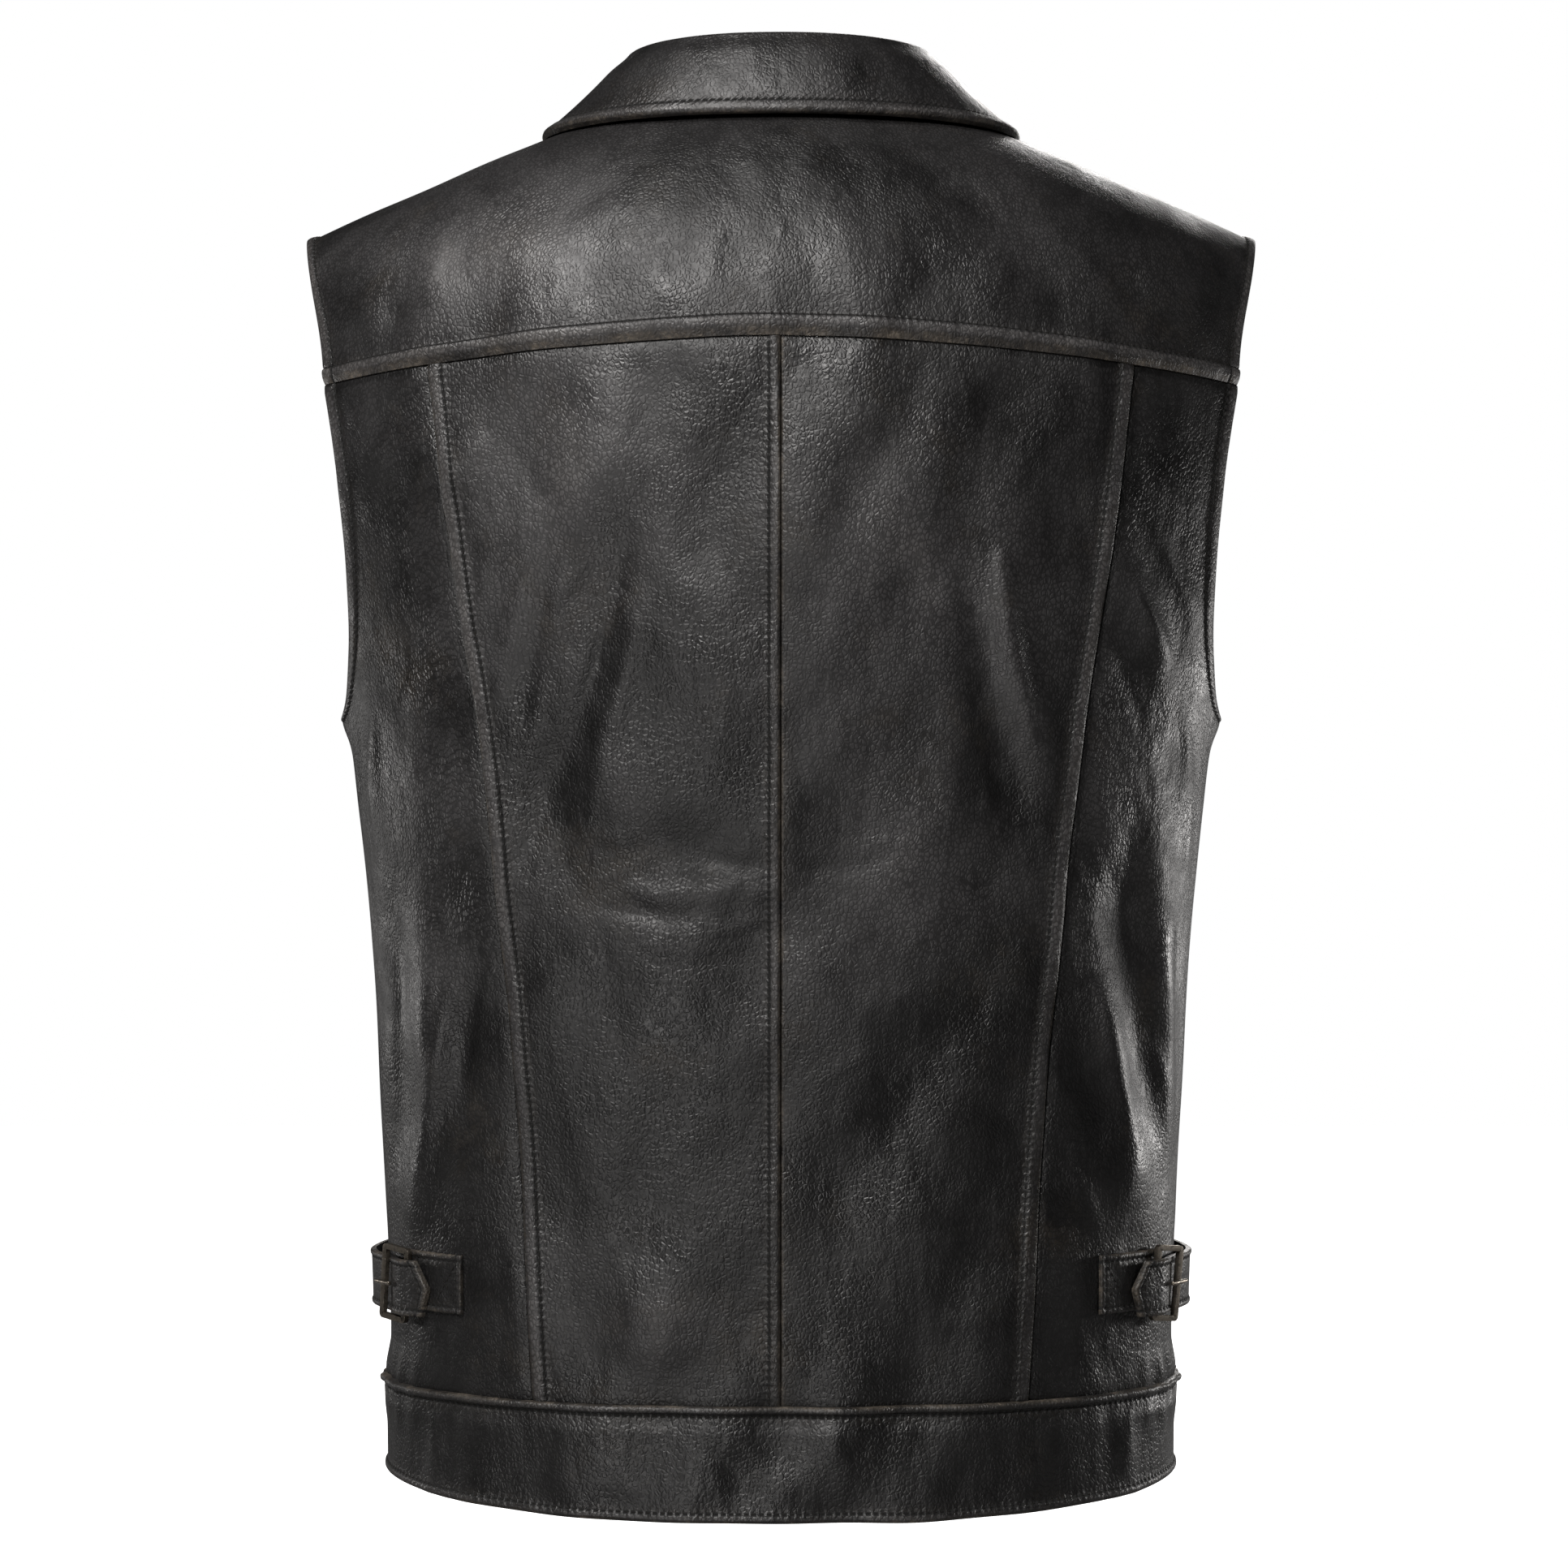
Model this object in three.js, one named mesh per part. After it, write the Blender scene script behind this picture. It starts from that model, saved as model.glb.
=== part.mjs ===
// A man's leather vest with its side adjusters, in the hollow form that it has when it is worn.
// Millimetres. +X is the wearer's right, +Y the wearer's front, +Z up.
// The origin is midway between the shoulders, on the line where the vest rests on them.
import * as THREE from "three";

// Leather and sewing
const leather = 2.0; // wall of one panel, with its turned backing
const standThick = 2.5; // two layers and a stiffener
const leafThick = 3.0; // two layers, turned at the edge
const seamGap = 0.3; // between pieces that are sewn together
const half = seamGap / 2;
const layGap = seamGap + 0.1; // between a piece and the panel that it lies on
const lapWidth = 7; // from a lapped edge to its row of stitches
const lapLift = 1.0; // how far a lapped edge stands proud
const lapRamp = 1.8; // where that lift fades out, past the stitches
const hemWidth = 8; // turned edge round the armholes
const hemLift = 0.8;

// Heights
const hemZ = -613.5;
const bandTopZ = -563;
const underarmZ = -253;
const yokeCentreZ = -83.5; // yoke seam at the centre back
const yokeSideDrop = 14.5; // how much lower it is at the armholes
const chestZ = -150; // where the front starts to slope back to the shoulders

// Shoulders: height of the line on which the vest rests
const shoulder = { neckX: 117, neckZ: 20, slope: 0.41, crown: 1.05 };
const shoulderSeamY = 24; // the yoke comes this far over to the front

// Armholes: distance from the centre at the top of the shoulder and where the yoke and chest end
const armhole = { topX: 226, yokeX: 212, chestX: 192, backDepth: 59, backZ: -142, power: 2.2 };
const armholeLean = { back: 0.05, front: 0.12 };
const underarmFlare = { rise: 3.5, height: 10, reach: 34 };

// Neck and collar, in plan
const neck = { halfWidth: 79, back: 73, front: 80, power: 2.1 };
const fold = { halfWidth: 72.6, back: 70.5, front: 83, power: 2.25 };
const leafEdge = { halfWidth: 113.5, back: 85, front: 106, power: 2.2 };
const collar = { foldZ: 62.7, frontZ: -14, edgeZ: 23, endTurn: 172, edgeEndTurn: 148, dropFrom: 78 };
const leafBulge = { back: 3, side: -1.7 }; // roundness of the leaf between its fold and its edge
const leafGap = 0.55; // under the leaf where it lies on the shoulders
const standLift = 0.8; // from the form to the middle of the stand's foot

// Front opening, wearer's left over right
const overlap = 15; // each front passes the centre line by this
const overlapLift = leather + 0.9; // the upper layer lies on the lower one
const overlapFade = 26;
const snap = { radius: 7.5, height: 3.2, firstZ: -66, step: 89, count: 6, bandZ: -588 };

// Waistband: lift of its outer face at each height, from its rolled top edge to its stitched hem
const band = { lift: 1.4, roll: 1.2, rollWidth: 3.2, hemRow: 4.5, hemRise: 0.8 };
const hemCurve = { sideRise: 7.5, power: 6 }; // the hem is higher at the sides

// Side adjusters, by distance along the body from the side seam, towards the back
const tab = { z: -511.5, patchHeight: 27, patchThick: 1.4, strapZ: -515, strapHeight: 25.5, strapThick: 2.2 };
const patchEnds = { from: 50, to: 97 };
const strapEnds = { sewn: -45, tip: 78 };
const buckle = { z: -514, height: 35, length: 18, wire: 2.6, at: 54.5, low: 3.5, high: 7.8, clear: 1.15, lean: 6 };
const prong = { radius: 1.1, lift: 1, from: 4, past: 2 };

// Sections of the worn form, hem first: height, half width at the side seams, depth behind and in
// front of the shoulder line, and how square the section is (2 is an ellipse).
const sections = [
  { z: -613.5, halfWidth: 185.5, back: 119, front: 119, power: 2.22 },
  { z: -520.0, halfWidth: 186.0, back: 117, front: 119, power: 2.35 },
  { z: -430.0, halfWidth: 190.5, back: 115, front: 118, power: 2.3 },
  { z: -350.0, halfWidth: 195.0, back: 118, front: 117, power: 2.25 },
  { z: -295.0, halfWidth: 201.0, back: 122, front: 119, power: 2.2 },
  { z: -253.0, halfWidth: 206.0, back: 125, front: 121, power: 2.12 },
  { z: -220.0, halfWidth: 213.5, back: 128, front: 122, power: 2.05 },
  { z: -185.0, halfWidth: 222.5, back: 130, front: 121, power: 2.0 },
  { z: -142.0, halfWidth: 229.5, back: 131, front: 117, power: 2.0 },
  { z: -96.0, halfWidth: 232.0, back: 131, front: 112, power: 2.0 },
  { z: -60.0, halfWidth: 232.0, back: 130, front: 108, power: 2.0 },
];

// Side-back seams: distance from the centre back at each height.
const sideBackSeam = [
  { z: -563, x: 112 },
  { z: -481, x: 116.5 },
  { z: -421, x: 120.5 },
  { z: -362, x: 126 },
  { z: -309, x: 131.5 },
  { z: -257, x: 137.5 },
  { z: -198, x: 147 },
  { z: -134, x: 155.5 },
  { z: -94, x: 160.5 },
];

// The largest folds. Each runs through three points, given as distance to the wearer's right of the
// centre and height, on the back or the front. Rise is outwards, and a trough has a negative one.
const folds = [
  { on: "back", x1: -163, z1: -345, x2: -160, z2: -410, x3: -168, z3: -478, width: 9, rise: 5 },
  { on: "back", x1: -180, z1: -330, x2: -177, z2: -400, x3: -181, z3: -470, width: 8, rise: -2.5 },
  { on: "back", x1: -98, z1: -165, x2: -112, z2: -215, x3: -118, z3: -262, width: 13, rise: -4.5 },
  { on: "back", x1: -66, z1: -165, x2: -92, z2: -240, x3: -112, z3: -330, width: 15, rise: -5 },
  { on: "back", x1: -74, z1: -125, x2: -100, z2: -190, x3: -126, z3: -262, width: 14, rise: 3 },
  { on: "back", x1: -95, z1: -320, x2: -50, z2: -312, x3: -8, z3: -320, width: 11, rise: -3.2 },
  { on: "back", x1: -84, z1: -346, x2: -45, z2: -352, x3: -10, z3: -343, width: 11, rise: 2.2 },
  { on: "back", x1: 96, z1: -178, x2: 105, z2: -240, x3: 122, z3: -290, width: 8, rise: 3.6 },
  { on: "back", x1: 86, z1: -170, x2: 92, z2: -240, x3: 108, z3: -300, width: 11, rise: -3.6 },
  { on: "back", x1: 40, z1: -110, x2: 26, z2: -150, x3: 14, z3: -200, width: 16, rise: 3 },
  { on: "back", x1: 156, z1: -180, x2: 168, z2: -212, x3: 180, z3: -250, width: 9, rise: 4 },
  { on: "back", x1: 140, z1: -372, x2: 154, z2: -420, x3: 160, z3: -480, width: 11, rise: 5.5 },
  { on: "back", x1: 172, z1: -290, x2: 176, z2: -360, x3: 181, z3: -465, width: 9, rise: 3.5 },
  { on: "back", x1: 162, z1: -300, x2: 160, z2: -360, x3: 172, z3: -440, width: 10, rise: -4 },
  { on: "back", x1: -172, z1: -50, x2: -176, z2: -66, x3: -182, z3: -86, width: 9, rise: -2.6 },
  { on: "back", x1: 150, z1: -34, x2: 158, z2: -56, x3: 172, z3: -80, width: 11, rise: -2.4 },
  { on: "front", x1: -120, z1: -210, x2: -140, z2: -300, x3: -150, z3: -400, width: 14, rise: 4 },
  { on: "front", x1: -60, z1: -300, x2: -80, z2: -380, x3: -92, z3: -460, width: 15, rise: -4 },
  { on: "front", x1: 118, z1: -200, x2: 132, z2: -290, x3: 150, z3: -380, width: 14, rise: 4 },
  { on: "front", x1: 62, z1: -330, x2: 84, z2: -410, x3: 96, z3: -500, width: 15, rise: -4 },
  { on: "front", x1: 160, z1: -350, x2: 168, z2: -410, x3: 170, z3: -470, width: 10, rise: 4 },
  { on: "front", x1: -160, z1: -360, x2: -166, z2: -420, x3: -170, z3: -470, width: 10, rise: 4 },
];
const foldSteps = 8;

// Small upright gathers under each side adjuster, which run down into the waistband.
const gathers = { count: 6, first: -12, pitch: 15, width: 4.5, rise: 2, topZ: -545, bottomZ: -578 };

const rightAngle = Math.PI / 2;
const radians = (degrees) => (degrees * Math.PI) / 180;
const clamp = (v, low, high) => Math.min(high, Math.max(low, v));
const mix = (a, b, t) => a + (b - a) * t;
const smooth = (t) => clamp(t, 0, 1) ** 2 * (3 - 2 * clamp(t, 0, 1));
const spread = (low, high, count) => Array.from({ length: count + 1 }, (_, i) => mix(low, high, i / count));

// A smooth curve through one column of a table, by height.
function column(table, key, z) {
  const last = table.length - 1;
  if (z <= table[0].z) return table[0][key];
  if (z >= table[last].z) return table[last][key];
  const i = table.findIndex((row, k) => z < table[k + 1].z);
  const [a, b] = [table[i], table[i + 1]];
  const slopeAt = (k) => {
    const [p, q] = [table[Math.max(0, k - 1)], table[Math.min(last, k + 1)]];
    return (q[key] - p[key]) / (q.z - p.z);
  };
  const step = b.z - a.z;
  const t = (z - a.z) / step;
  const [t2, t3] = [t ** 2, t ** 3];
  return (
    (2 * t3 - 3 * t2 + 1) * a[key] + (t3 - 2 * t2 + t) * step * slopeAt(i) +
    (3 * t2 - 2 * t3) * b[key] + (t3 - t2) * step * slopeAt(i + 1)
  );
}

// The body below the yoke and the chest. Angle 0 is the centre back, a quarter turn the side seam
// and a half turn the centre front, positive on the wearer's right.
function bodyPoint(angle, z) {
  const width = column(sections, "halfWidth", z);
  const power = column(sections, "power", z);
  const [sin, cos] = [Math.sin(angle), Math.cos(angle)];
  const depth = column(sections, cos > 0 ? "back" : "front", z);
  const r = (Math.abs(sin / width) ** power + Math.abs(cos / depth) ** power) ** (-1 / power);
  return new THREE.Vector3(r * sin, -r * cos, z);
}

// Depth of the body from the shoulder line, at a distance from the centre.
function depthAt(x, z, on) {
  const width = column(sections, "halfWidth", z);
  const power = column(sections, "power", z);
  return column(sections, on, z) * Math.max(0, 1 - Math.abs(x / width) ** power) ** (1 / power);
}
const angleAt = (x, z, on) => Math.atan2(x, depthAt(x, z, on) * (on === "back" ? 1 : -1));

const yokeZ = (x) => yokeCentreZ - yokeSideDrop * Math.abs(x / armhole.yokeX) ** 1.6;

// Height of the shoulder line, which rounds over where the neck comes through.
function ridgeZ(x) {
  const out = Math.abs(x) - shoulder.neckX;
  if (out > 0) return shoulder.neckZ - shoulder.slope * out;
  const bend = (shoulder.crown * shoulder.slope) / (2 * shoulder.neckX);
  return shoulder.neckZ + bend * (shoulder.neckX ** 2 - x ** 2);
}

// The profile over the shoulder at a distance from the centre: its foot, reach and two powers.
function profile(x, on) {
  const footZ = on === "back" ? yokeZ(x) : chestZ;
  const out = Math.min(1, (x / armhole.yokeX) ** 2);
  return {
    footZ,
    depth: depthAt(x, footZ, on),
    rise: ridgeZ(x) - footZ,
    top: on === "back" ? 2.25 : 2,
    foot: on === "back" ? 2.1 : mix(1.4, 1.95, out),
  };
}

// A point above the yoke seam or the chest: 0 is the foot of its profile, a right angle the top.
function shoulderPoint(x, up, on) {
  const p = profile(x, on);
  const out = p.depth * Math.cos(up) ** (2 / p.top);
  return new THREE.Vector3(x, on === "back" ? -out : out, p.footZ + p.rise * Math.sin(up) ** (2 / p.foot));
}
function upAtDepth(x, depth, on) {
  const p = profile(x, on);
  return Math.acos(clamp(Math.abs(depth) / p.depth, 0, 1) ** (p.top / 2));
}
function upAtHeight(x, z, on) {
  const p = profile(x, on);
  return Math.asin(clamp((z - p.footZ) / p.rise, 0, 1) ** (p.foot / 2));
}

// A point on the back or the front, by its distance from the centre and its height.
function formPoint(x, z, on) {
  if (z > profile(x, on).footZ) return shoulderPoint(x, upAtHeight(x, z, on), on);
  return bodyPoint(angleAt(x, z, on), z);
}

// A place is a point of the form with the outward normal there. The three functions cover the back
// below the yoke, the front up to the shoulder seam, and the yoke.
function placeOf(pointAt, a, b, stepA, stepB, outward) {
  const du = pointAt(a + stepA, b).sub(pointAt(a - stepA, b));
  const dv = pointAt(a, b + stepB).sub(pointAt(a, b - stepB));
  return { p: pointAt(a, b), n: du.cross(dv).normalize().multiplyScalar(outward) };
}
const backPlace = (angle, z) => placeOf(bodyPoint, angle, z, 1e-3, 0.5, 1);

// Above the chest a line of constant angle goes on upwards at the distance that it has there, and
// its height stands for the angle up the profile.
const upScale = 100;
function frontPoint(angle, height) {
  if (height <= chestZ) return bodyPoint(angle, height);
  return shoulderPoint(bodyPoint(angle, chestZ).x, Math.min(rightAngle, (height - chestZ) / upScale), "front");
}
const frontHeight = (up) => chestZ + up * upScale;
const frontAngle = (x, side) => (x * side < 0 ? side * 2 * Math.PI : 0) + Math.atan2(x, -depthAt(x, chestZ, "front"));
const frontPlace = (angle, height) => placeOf(frontPoint, angle, height, 1e-3, 0.5, 1);

// On the yoke 0 is its seam, 1 the top of the shoulder and more than 1 the front.
function yokePoint(x, turn) {
  if (turn <= 1) return shoulderPoint(x, Math.max(0, turn) * rightAngle, "back");
  return shoulderPoint(x, (2 - turn) * rightAngle, "front");
}
function yokePlace(x, turn) {
  const inside = clamp(x, -armhole.topX + 1, armhole.topX - 1);
  return { p: yokePoint(x, turn), n: placeOf(yokePoint, inside, Math.max(0.006, turn), 0.5, 5e-3, 1).n };
}
function yokeTurn(x, y) {
  if (y <= 0) return upAtDepth(x, y, "back") / rightAngle;
  return 2 - upAtDepth(x, y, "front") / rightAngle;
}

const foldLines = folds.map((f) => {
  const through = (a, b, c, t) => (2 * t - 1) * (t - 1) * a + 4 * t * (1 - t) * b + t * (2 * t - 1) * c;
  const line = spread(0, 1, foldSteps).map((t) =>
    formPoint(through(f.x1, f.x2, f.x3, t), through(f.z1, f.z2, f.z3, t), f.on),
  );
  return { width: f.width, rise: f.rise, line };
});
for (const side of [-1, 1]) {
  for (let k = 0; k < gathers.count; k++) {
    const along = gathers.first + gathers.pitch * k;
    const line = [sidePoint(side, along, gathers.topZ), sidePoint(side, along - 3, gathers.bottomZ)];
    foldLines.push({ width: gathers.width, rise: gathers.rise * (k % 2 ? 0.7 : 1), line });
  }
}

// How far the folds move a point of the form outwards. A fold dies away past its two ends, and
// the leather lies smooth under the side adjusters.
function foldRise(p) {
  let sum = 0;
  for (const f of foldLines) {
    let best = Infinity;
    for (let i = 0; i + 1 < f.line.length; i++) {
      const along = f.line[i + 1].clone().sub(f.line[i]);
      const away = p.clone().sub(f.line[i]);
      const t = clamp(away.dot(along) / along.lengthSq(), 0, 1);
      best = Math.min(best, away.addScaledVector(along, -t).length());
    }
    sum += f.rise * Math.exp(-((best / f.width) ** 2));
  }
  const nearTab = Math.abs(p.x) > 125 ? Math.exp(-(((p.z - tab.z) / 22) ** 6)) : 0;
  return sum * (1 - nearTab);
}

// A closed wall from rows of places, each with the height of its outer and inner face above the
// form. Folds move both faces, so the wall keeps its thickness.
function wall(rows, smoothForm = false) {
  const [nv, nu] = [rows.length, rows[0].length];
  const position = [];
  for (const face of ["outer", "inner"]) {
    for (const place of rows.flat()) {
      const rise = smoothForm ? 0 : foldRise(place.p);
      position.push(...place.p.clone().addScaledVector(place.n, place[face] + rise));
    }
  }
  const index = [];
  const at = (i, j, face) => face * nu * nv + j * nu + i;
  const quad = (a, b, c, d) => index.push(a, b, c, a, c, d);
  for (let j = 0; j + 1 < nv; j++) {
    for (let i = 0; i + 1 < nu; i++) {
      quad(at(i, j, 0), at(i + 1, j, 0), at(i + 1, j + 1, 0), at(i, j + 1, 0));
      quad(at(i, j, 1), at(i, j + 1, 1), at(i + 1, j + 1, 1), at(i + 1, j, 1));
    }
  }
  const rim = [];
  for (let i = 0; i + 1 < nu; i++) rim.push([i, 0]);
  for (let j = 0; j + 1 < nv; j++) rim.push([nu - 1, j]);
  for (let i = nu - 1; i > 0; i--) rim.push([i, nv - 1]);
  for (let j = nv - 1; j > 0; j--) rim.push([0, j]);
  rim.forEach(([i, j], k) => {
    const [i2, j2] = rim[(k + 1) % rim.length];
    quad(at(i, j, 0), at(i, j, 1), at(i2, j2, 1), at(i2, j2, 0));
  });
  const [i, j] = [Math.floor(nu / 2), Math.floor(nv / 2)];
  const [here, right, above] = [rows[j][i].p, rows[j][i - 1].p, rows[j - 1][i].p];
  const turn = here.clone().sub(right).cross(here.clone().sub(above));
  if (turn.dot(rows[j][i].n) < 0) index.reverse();
  const geometry = new THREE.BufferGeometry();
  geometry.setAttribute("position", new THREE.Float32BufferAttribute(position, 3));
  geometry.setIndex(index);
  return geometry;
}

// Shares of a width, with a turned strip of its own at either edge.
function acrossShares(width, stripA, stripB, count) {
  const from = stripA ? (stripA + lapRamp) / width : 0;
  const to = stripB ? 1 - (stripB + lapRamp) / width : 1;
  const inner = spread(from, to, count);
  return [...(stripA ? [0, stripA / width] : []), ...inner, ...(stripB ? [1 - stripB / width, 1] : [])];
}

// A panel from two matched edges, bottom first, as pairs of the form's own coordinates. The top row
// is drawn to the top edge. Strips are the widths of the turned edges.
function panel({ left, right, top, place, strips, columns, raise, lift = () => 0, topWidth }) {
  const last = left.length - 1;
  const between = (j, u) => [mix(left[j][0], right[j][0], u), mix(left[j][1], right[j][1], u)];
  return left.map((_, j) => {
    const share = (j / last) ** 3;
    const chord = place(...left[j]).p.distanceTo(place(...right[j]).p);
    const width = j === last && topWidth ? topWidth : 1.06 * chord;
    return acrossShares(width, strips[0], strips[1], columns).map((u) => {
      const at = between(j, u);
      if (top) {
        const [end, edge] = [between(last, u), top(u)];
        at[0] += share * (edge[0] - end[0]);
        at[1] += share * (edge[1] - end[1]);
      }
      const here = place(...at);
      const inA = strips[0] && u * width < strips[0] + 0.01;
      const inB = strips[1] && (1 - u) * width < strips[1] + 0.01;
      const moved = lift(here.p);
      return { ...here, outer: moved + (inA || inB ? raise(j, inA) : 0), inner: moved - leather };
    });
  });
}

// A point at a distance along the body from the side seam, towards the back.
function sidePoint(side, along, z) {
  return bodyPoint(sideAngle(side, along, z), z);
}
function sideAngle(side, along, z) {
  const steps = 24;
  let angle = rightAngle;
  for (let i = 0; i < steps; i++) {
    const step = bodyPoint(angle, z).distanceTo(bodyPoint(angle - 1e-3, z)) / 1e-3;
    angle -= along / steps / step;
  }
  return side * angle;
}

// The armhole's lower edge, from the side seam up to the yoke or the chest.
function lowerArmhole(side, on, steps) {
  const topDepth = on === "back" ? armhole.backDepth : depthAt(armhole.chestX, chestZ, on);
  const topZ = on === "back" ? armhole.backZ : chestZ;
  return spread(0, rightAngle, steps).map((t) => {
    const z = topZ - (topZ - underarmZ) * Math.cos(t) ** (2 / armhole.power);
    const y = topDepth * Math.sin(t) ** (2 / armhole.power);
    const share = 1 - Math.min(1, y / column(sections, on, z)) ** column(sections, "power", z);
    const x = column(sections, "halfWidth", z) * share ** (1 / column(sections, "power", z));
    return [side * Math.atan2(x, on === "back" ? y : -y), z];
  });
}

// The armhole's edge over the shoulder: distance from the centre at a depth from the shoulder line.
function armholeX(y) {
  const on = y < 0 ? "back" : "front";
  const depth = on === "back" ? depthAt(armhole.yokeX, yokeZ(armhole.yokeX), on) : depthAt(armhole.chestX, chestZ, on);
  const footX = on === "back" ? armhole.yokeX : armhole.chestX;
  const bend = (armhole.topX - footX - armholeLean[on] * depth) / depth ** 2;
  return armhole.topX - armholeLean[on] * Math.abs(y) - bend * y ** 2;
}

// The leather flares a little round the lowest part of the armhole.
function flare(p) {
  const near = Math.exp(-(((p.z - underarmZ) / underarmFlare.height) ** 2));
  return underarmFlare.rise * near * clamp(1 - Math.abs(p.y) / underarmFlare.reach, 0, 1);
}

// Heights of the rows along a side seam, closer together where the gathers are.
const sideHeights = (count) => [bandTopZ + half, -553, -543, -529, ...spread(-494, underarmZ, count).slice(0, -1)];

const seamAngle = (side, z, towards) => side * (rightAngle + (towards * half) / column(sections, "halfWidth", z));

const seamTopX = sideBackSeam[sideBackSeam.length - 1].x;

function backCentre(side) {
  const count = 26;
  const left = spread(bandTopZ + half, yokeCentreZ - half, count).map((z) => [side * angleAt(half, z, "back"), z]);
  const right = spread(bandTopZ + half, yokeZ(seamTopX) - half, count).map((z) => [
    side * angleAt(column(sideBackSeam, "x", z) - half, z, "back"),
    z,
  ]);
  const top = (u) => {
    const angle = mix(left[count][0], right[count][0], u);
    return [angle, yokeZ(bodyPoint(angle, yokeCentreZ).x) - half];
  };
  const strips = [side < 0 ? lapWidth : 0, lapWidth];
  return wall(panel({ left, right, top, place: backPlace, strips, columns: 8, raise: () => lapLift }));
}

function backSide(side) {
  const seamRows = 14;
  const topZ = yokeZ(armhole.yokeX) - half;
  const right = sideHeights(seamRows - 4).map((z) => [seamAngle(side, z, -1), z]);
  const edge = lowerArmhole(side, "back", 8);
  edge[0][0] = seamAngle(side, underarmZ, -1);
  const [lastAngle, lastZ] = edge[edge.length - 1];
  const endAngle = side * angleAt(armhole.yokeX, topZ, "back");
  edge.push([mix(lastAngle, endAngle, 0.35), mix(lastZ, topZ, 0.5)], [endAngle, topZ]);
  right.push(...edge);
  const lengths = right.map((r, j) => (j ? backPlace(...r).p.distanceTo(backPlace(...right[j - 1]).p) : 0));
  const total = lengths.reduce((a, b) => a + b);
  const seamTop = yokeZ(seamTopX) - half;
  let run = 0;
  const left = lengths.map((length) => {
    run += length;
    const z = mix(bandTopZ + half, seamTop, run / total);
    return [side * angleAt(column(sideBackSeam, "x", z) + half, z, "back"), z];
  });
  const top = (u) => {
    const angle = mix(left[left.length - 1][0], endAngle, u);
    return [angle, yokeZ(bodyPoint(angle, topZ).x) - half];
  };
  const raise = (j) => (j >= seamRows ? hemLift : 0);
  const strips = [0, hemWidth];
  return wall(panel({ left, right, top, place: backPlace, strips, columns: 6, raise, lift: flare }));
}

// How far the upper front lies above the lower one.
const overlapRise = (x, lift = overlapLift) => lift * smooth((x + overlap + 3 + overlapFade) / overlapFade);
const bandOverlap = leather + band.roll + 0.5;

// The neck's edge in plan, by its turn from the centre back.
function ringPoint(ring, turn) {
  const [sin, cos] = [Math.sin(turn), Math.cos(turn)];
  const x = Math.sign(sin) * ring.halfWidth * Math.abs(sin) ** (2 / ring.power);
  const reach = (cos > 0 ? ring.back : ring.front) * Math.abs(cos) ** (2 / ring.power);
  return [x, cos > 0 ? -reach : reach];
}
// The shoulder seam, from the neck to the armhole: its ends and the shares of its points.
const neckCornerTurn = Math.PI - Math.acos((shoulderSeamY / neck.front) ** (neck.power / 2));

const seamInX = ringPoint(neck, neckCornerTurn)[0];
const seamOutX = armholeX(shoulderSeamY);
const seamLength = 1.1 * (seamOutX - seamInX);
const panelColumns = 9;

function front(side) {
  const rows = { seam: 13, low: 7, high: 4, neck: 9 };
  const lift = (p) => flare(p) + (side < 0 ? overlapRise(p.x) : 0);
  const edgeX = -side * overlap;
  const right = sideHeights(rows.seam - 4).map((z) => [seamAngle(side, z, 1), z]);
  const low = lowerArmhole(side, "front", rows.low);
  low[0][0] = seamAngle(side, underarmZ, 1);
  right.push(...low);
  const chestDepth = depthAt(armhole.chestX, chestZ, "front");
  const seamY = shoulderSeamY + half;
  for (const y of spread(chestDepth, seamY, rows.high + rows.neck).slice(1)) {
    const x = side * armholeX(y);
    right.push([frontAngle(x, side), frontHeight(upAtDepth(x, y, "front"))]);
  }
  const centreAngle = (z) => side * (Math.PI + Math.atan(overlap / column(sections, "front", Math.min(z, chestZ))));
  const neckAt = (turn) => {
    const [x, y] = ringPoint(neck, side * turn);
    const lowered = y + (side < 0 ? 1.1 * overlapRise(x) : 0);
    return [frontAngle(x, side), frontHeight(upAtDepth(x, lowered, "front"))];
  };
  const edgeTurn = Math.PI + Math.asin((overlap / neck.halfWidth) ** (neck.power / 2));
  const neckEnd = neckAt(edgeTurn);
  const lowTop = chestZ + 0.2 * (neckEnd[1] - chestZ);
  const left = [
    ...sideHeights(rows.seam - 4).map((z) => mix(bandTopZ + half, -290, (z - bandTopZ) / (underarmZ - bandTopZ))),
    -290,
    ...spread(-290, lowTop, rows.low).slice(1),
    ...spread(lowTop, neckEnd[1], rows.high).slice(1),
  ].map((z) => [centreAngle(z), z]);
  left.push(...spread(edgeTurn, neckCornerTurn, rows.neck).slice(1).map(neckAt));
  const top = (u) => {
    const x = side * mix(seamInX, seamOutX, u);
    return [frontAngle(x, side), frontHeight(upAtDepth(x, seamY, "front"))];
  };
  const raise = (j) => (j >= rows.seam ? hemLift : 0);
  const shape = { left, right, top, place: frontPlace, strips: [0, hemWidth], columns: panelColumns };
  return wall(panel({ ...shape, raise, lift, topWidth: seamLength }));
}

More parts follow.
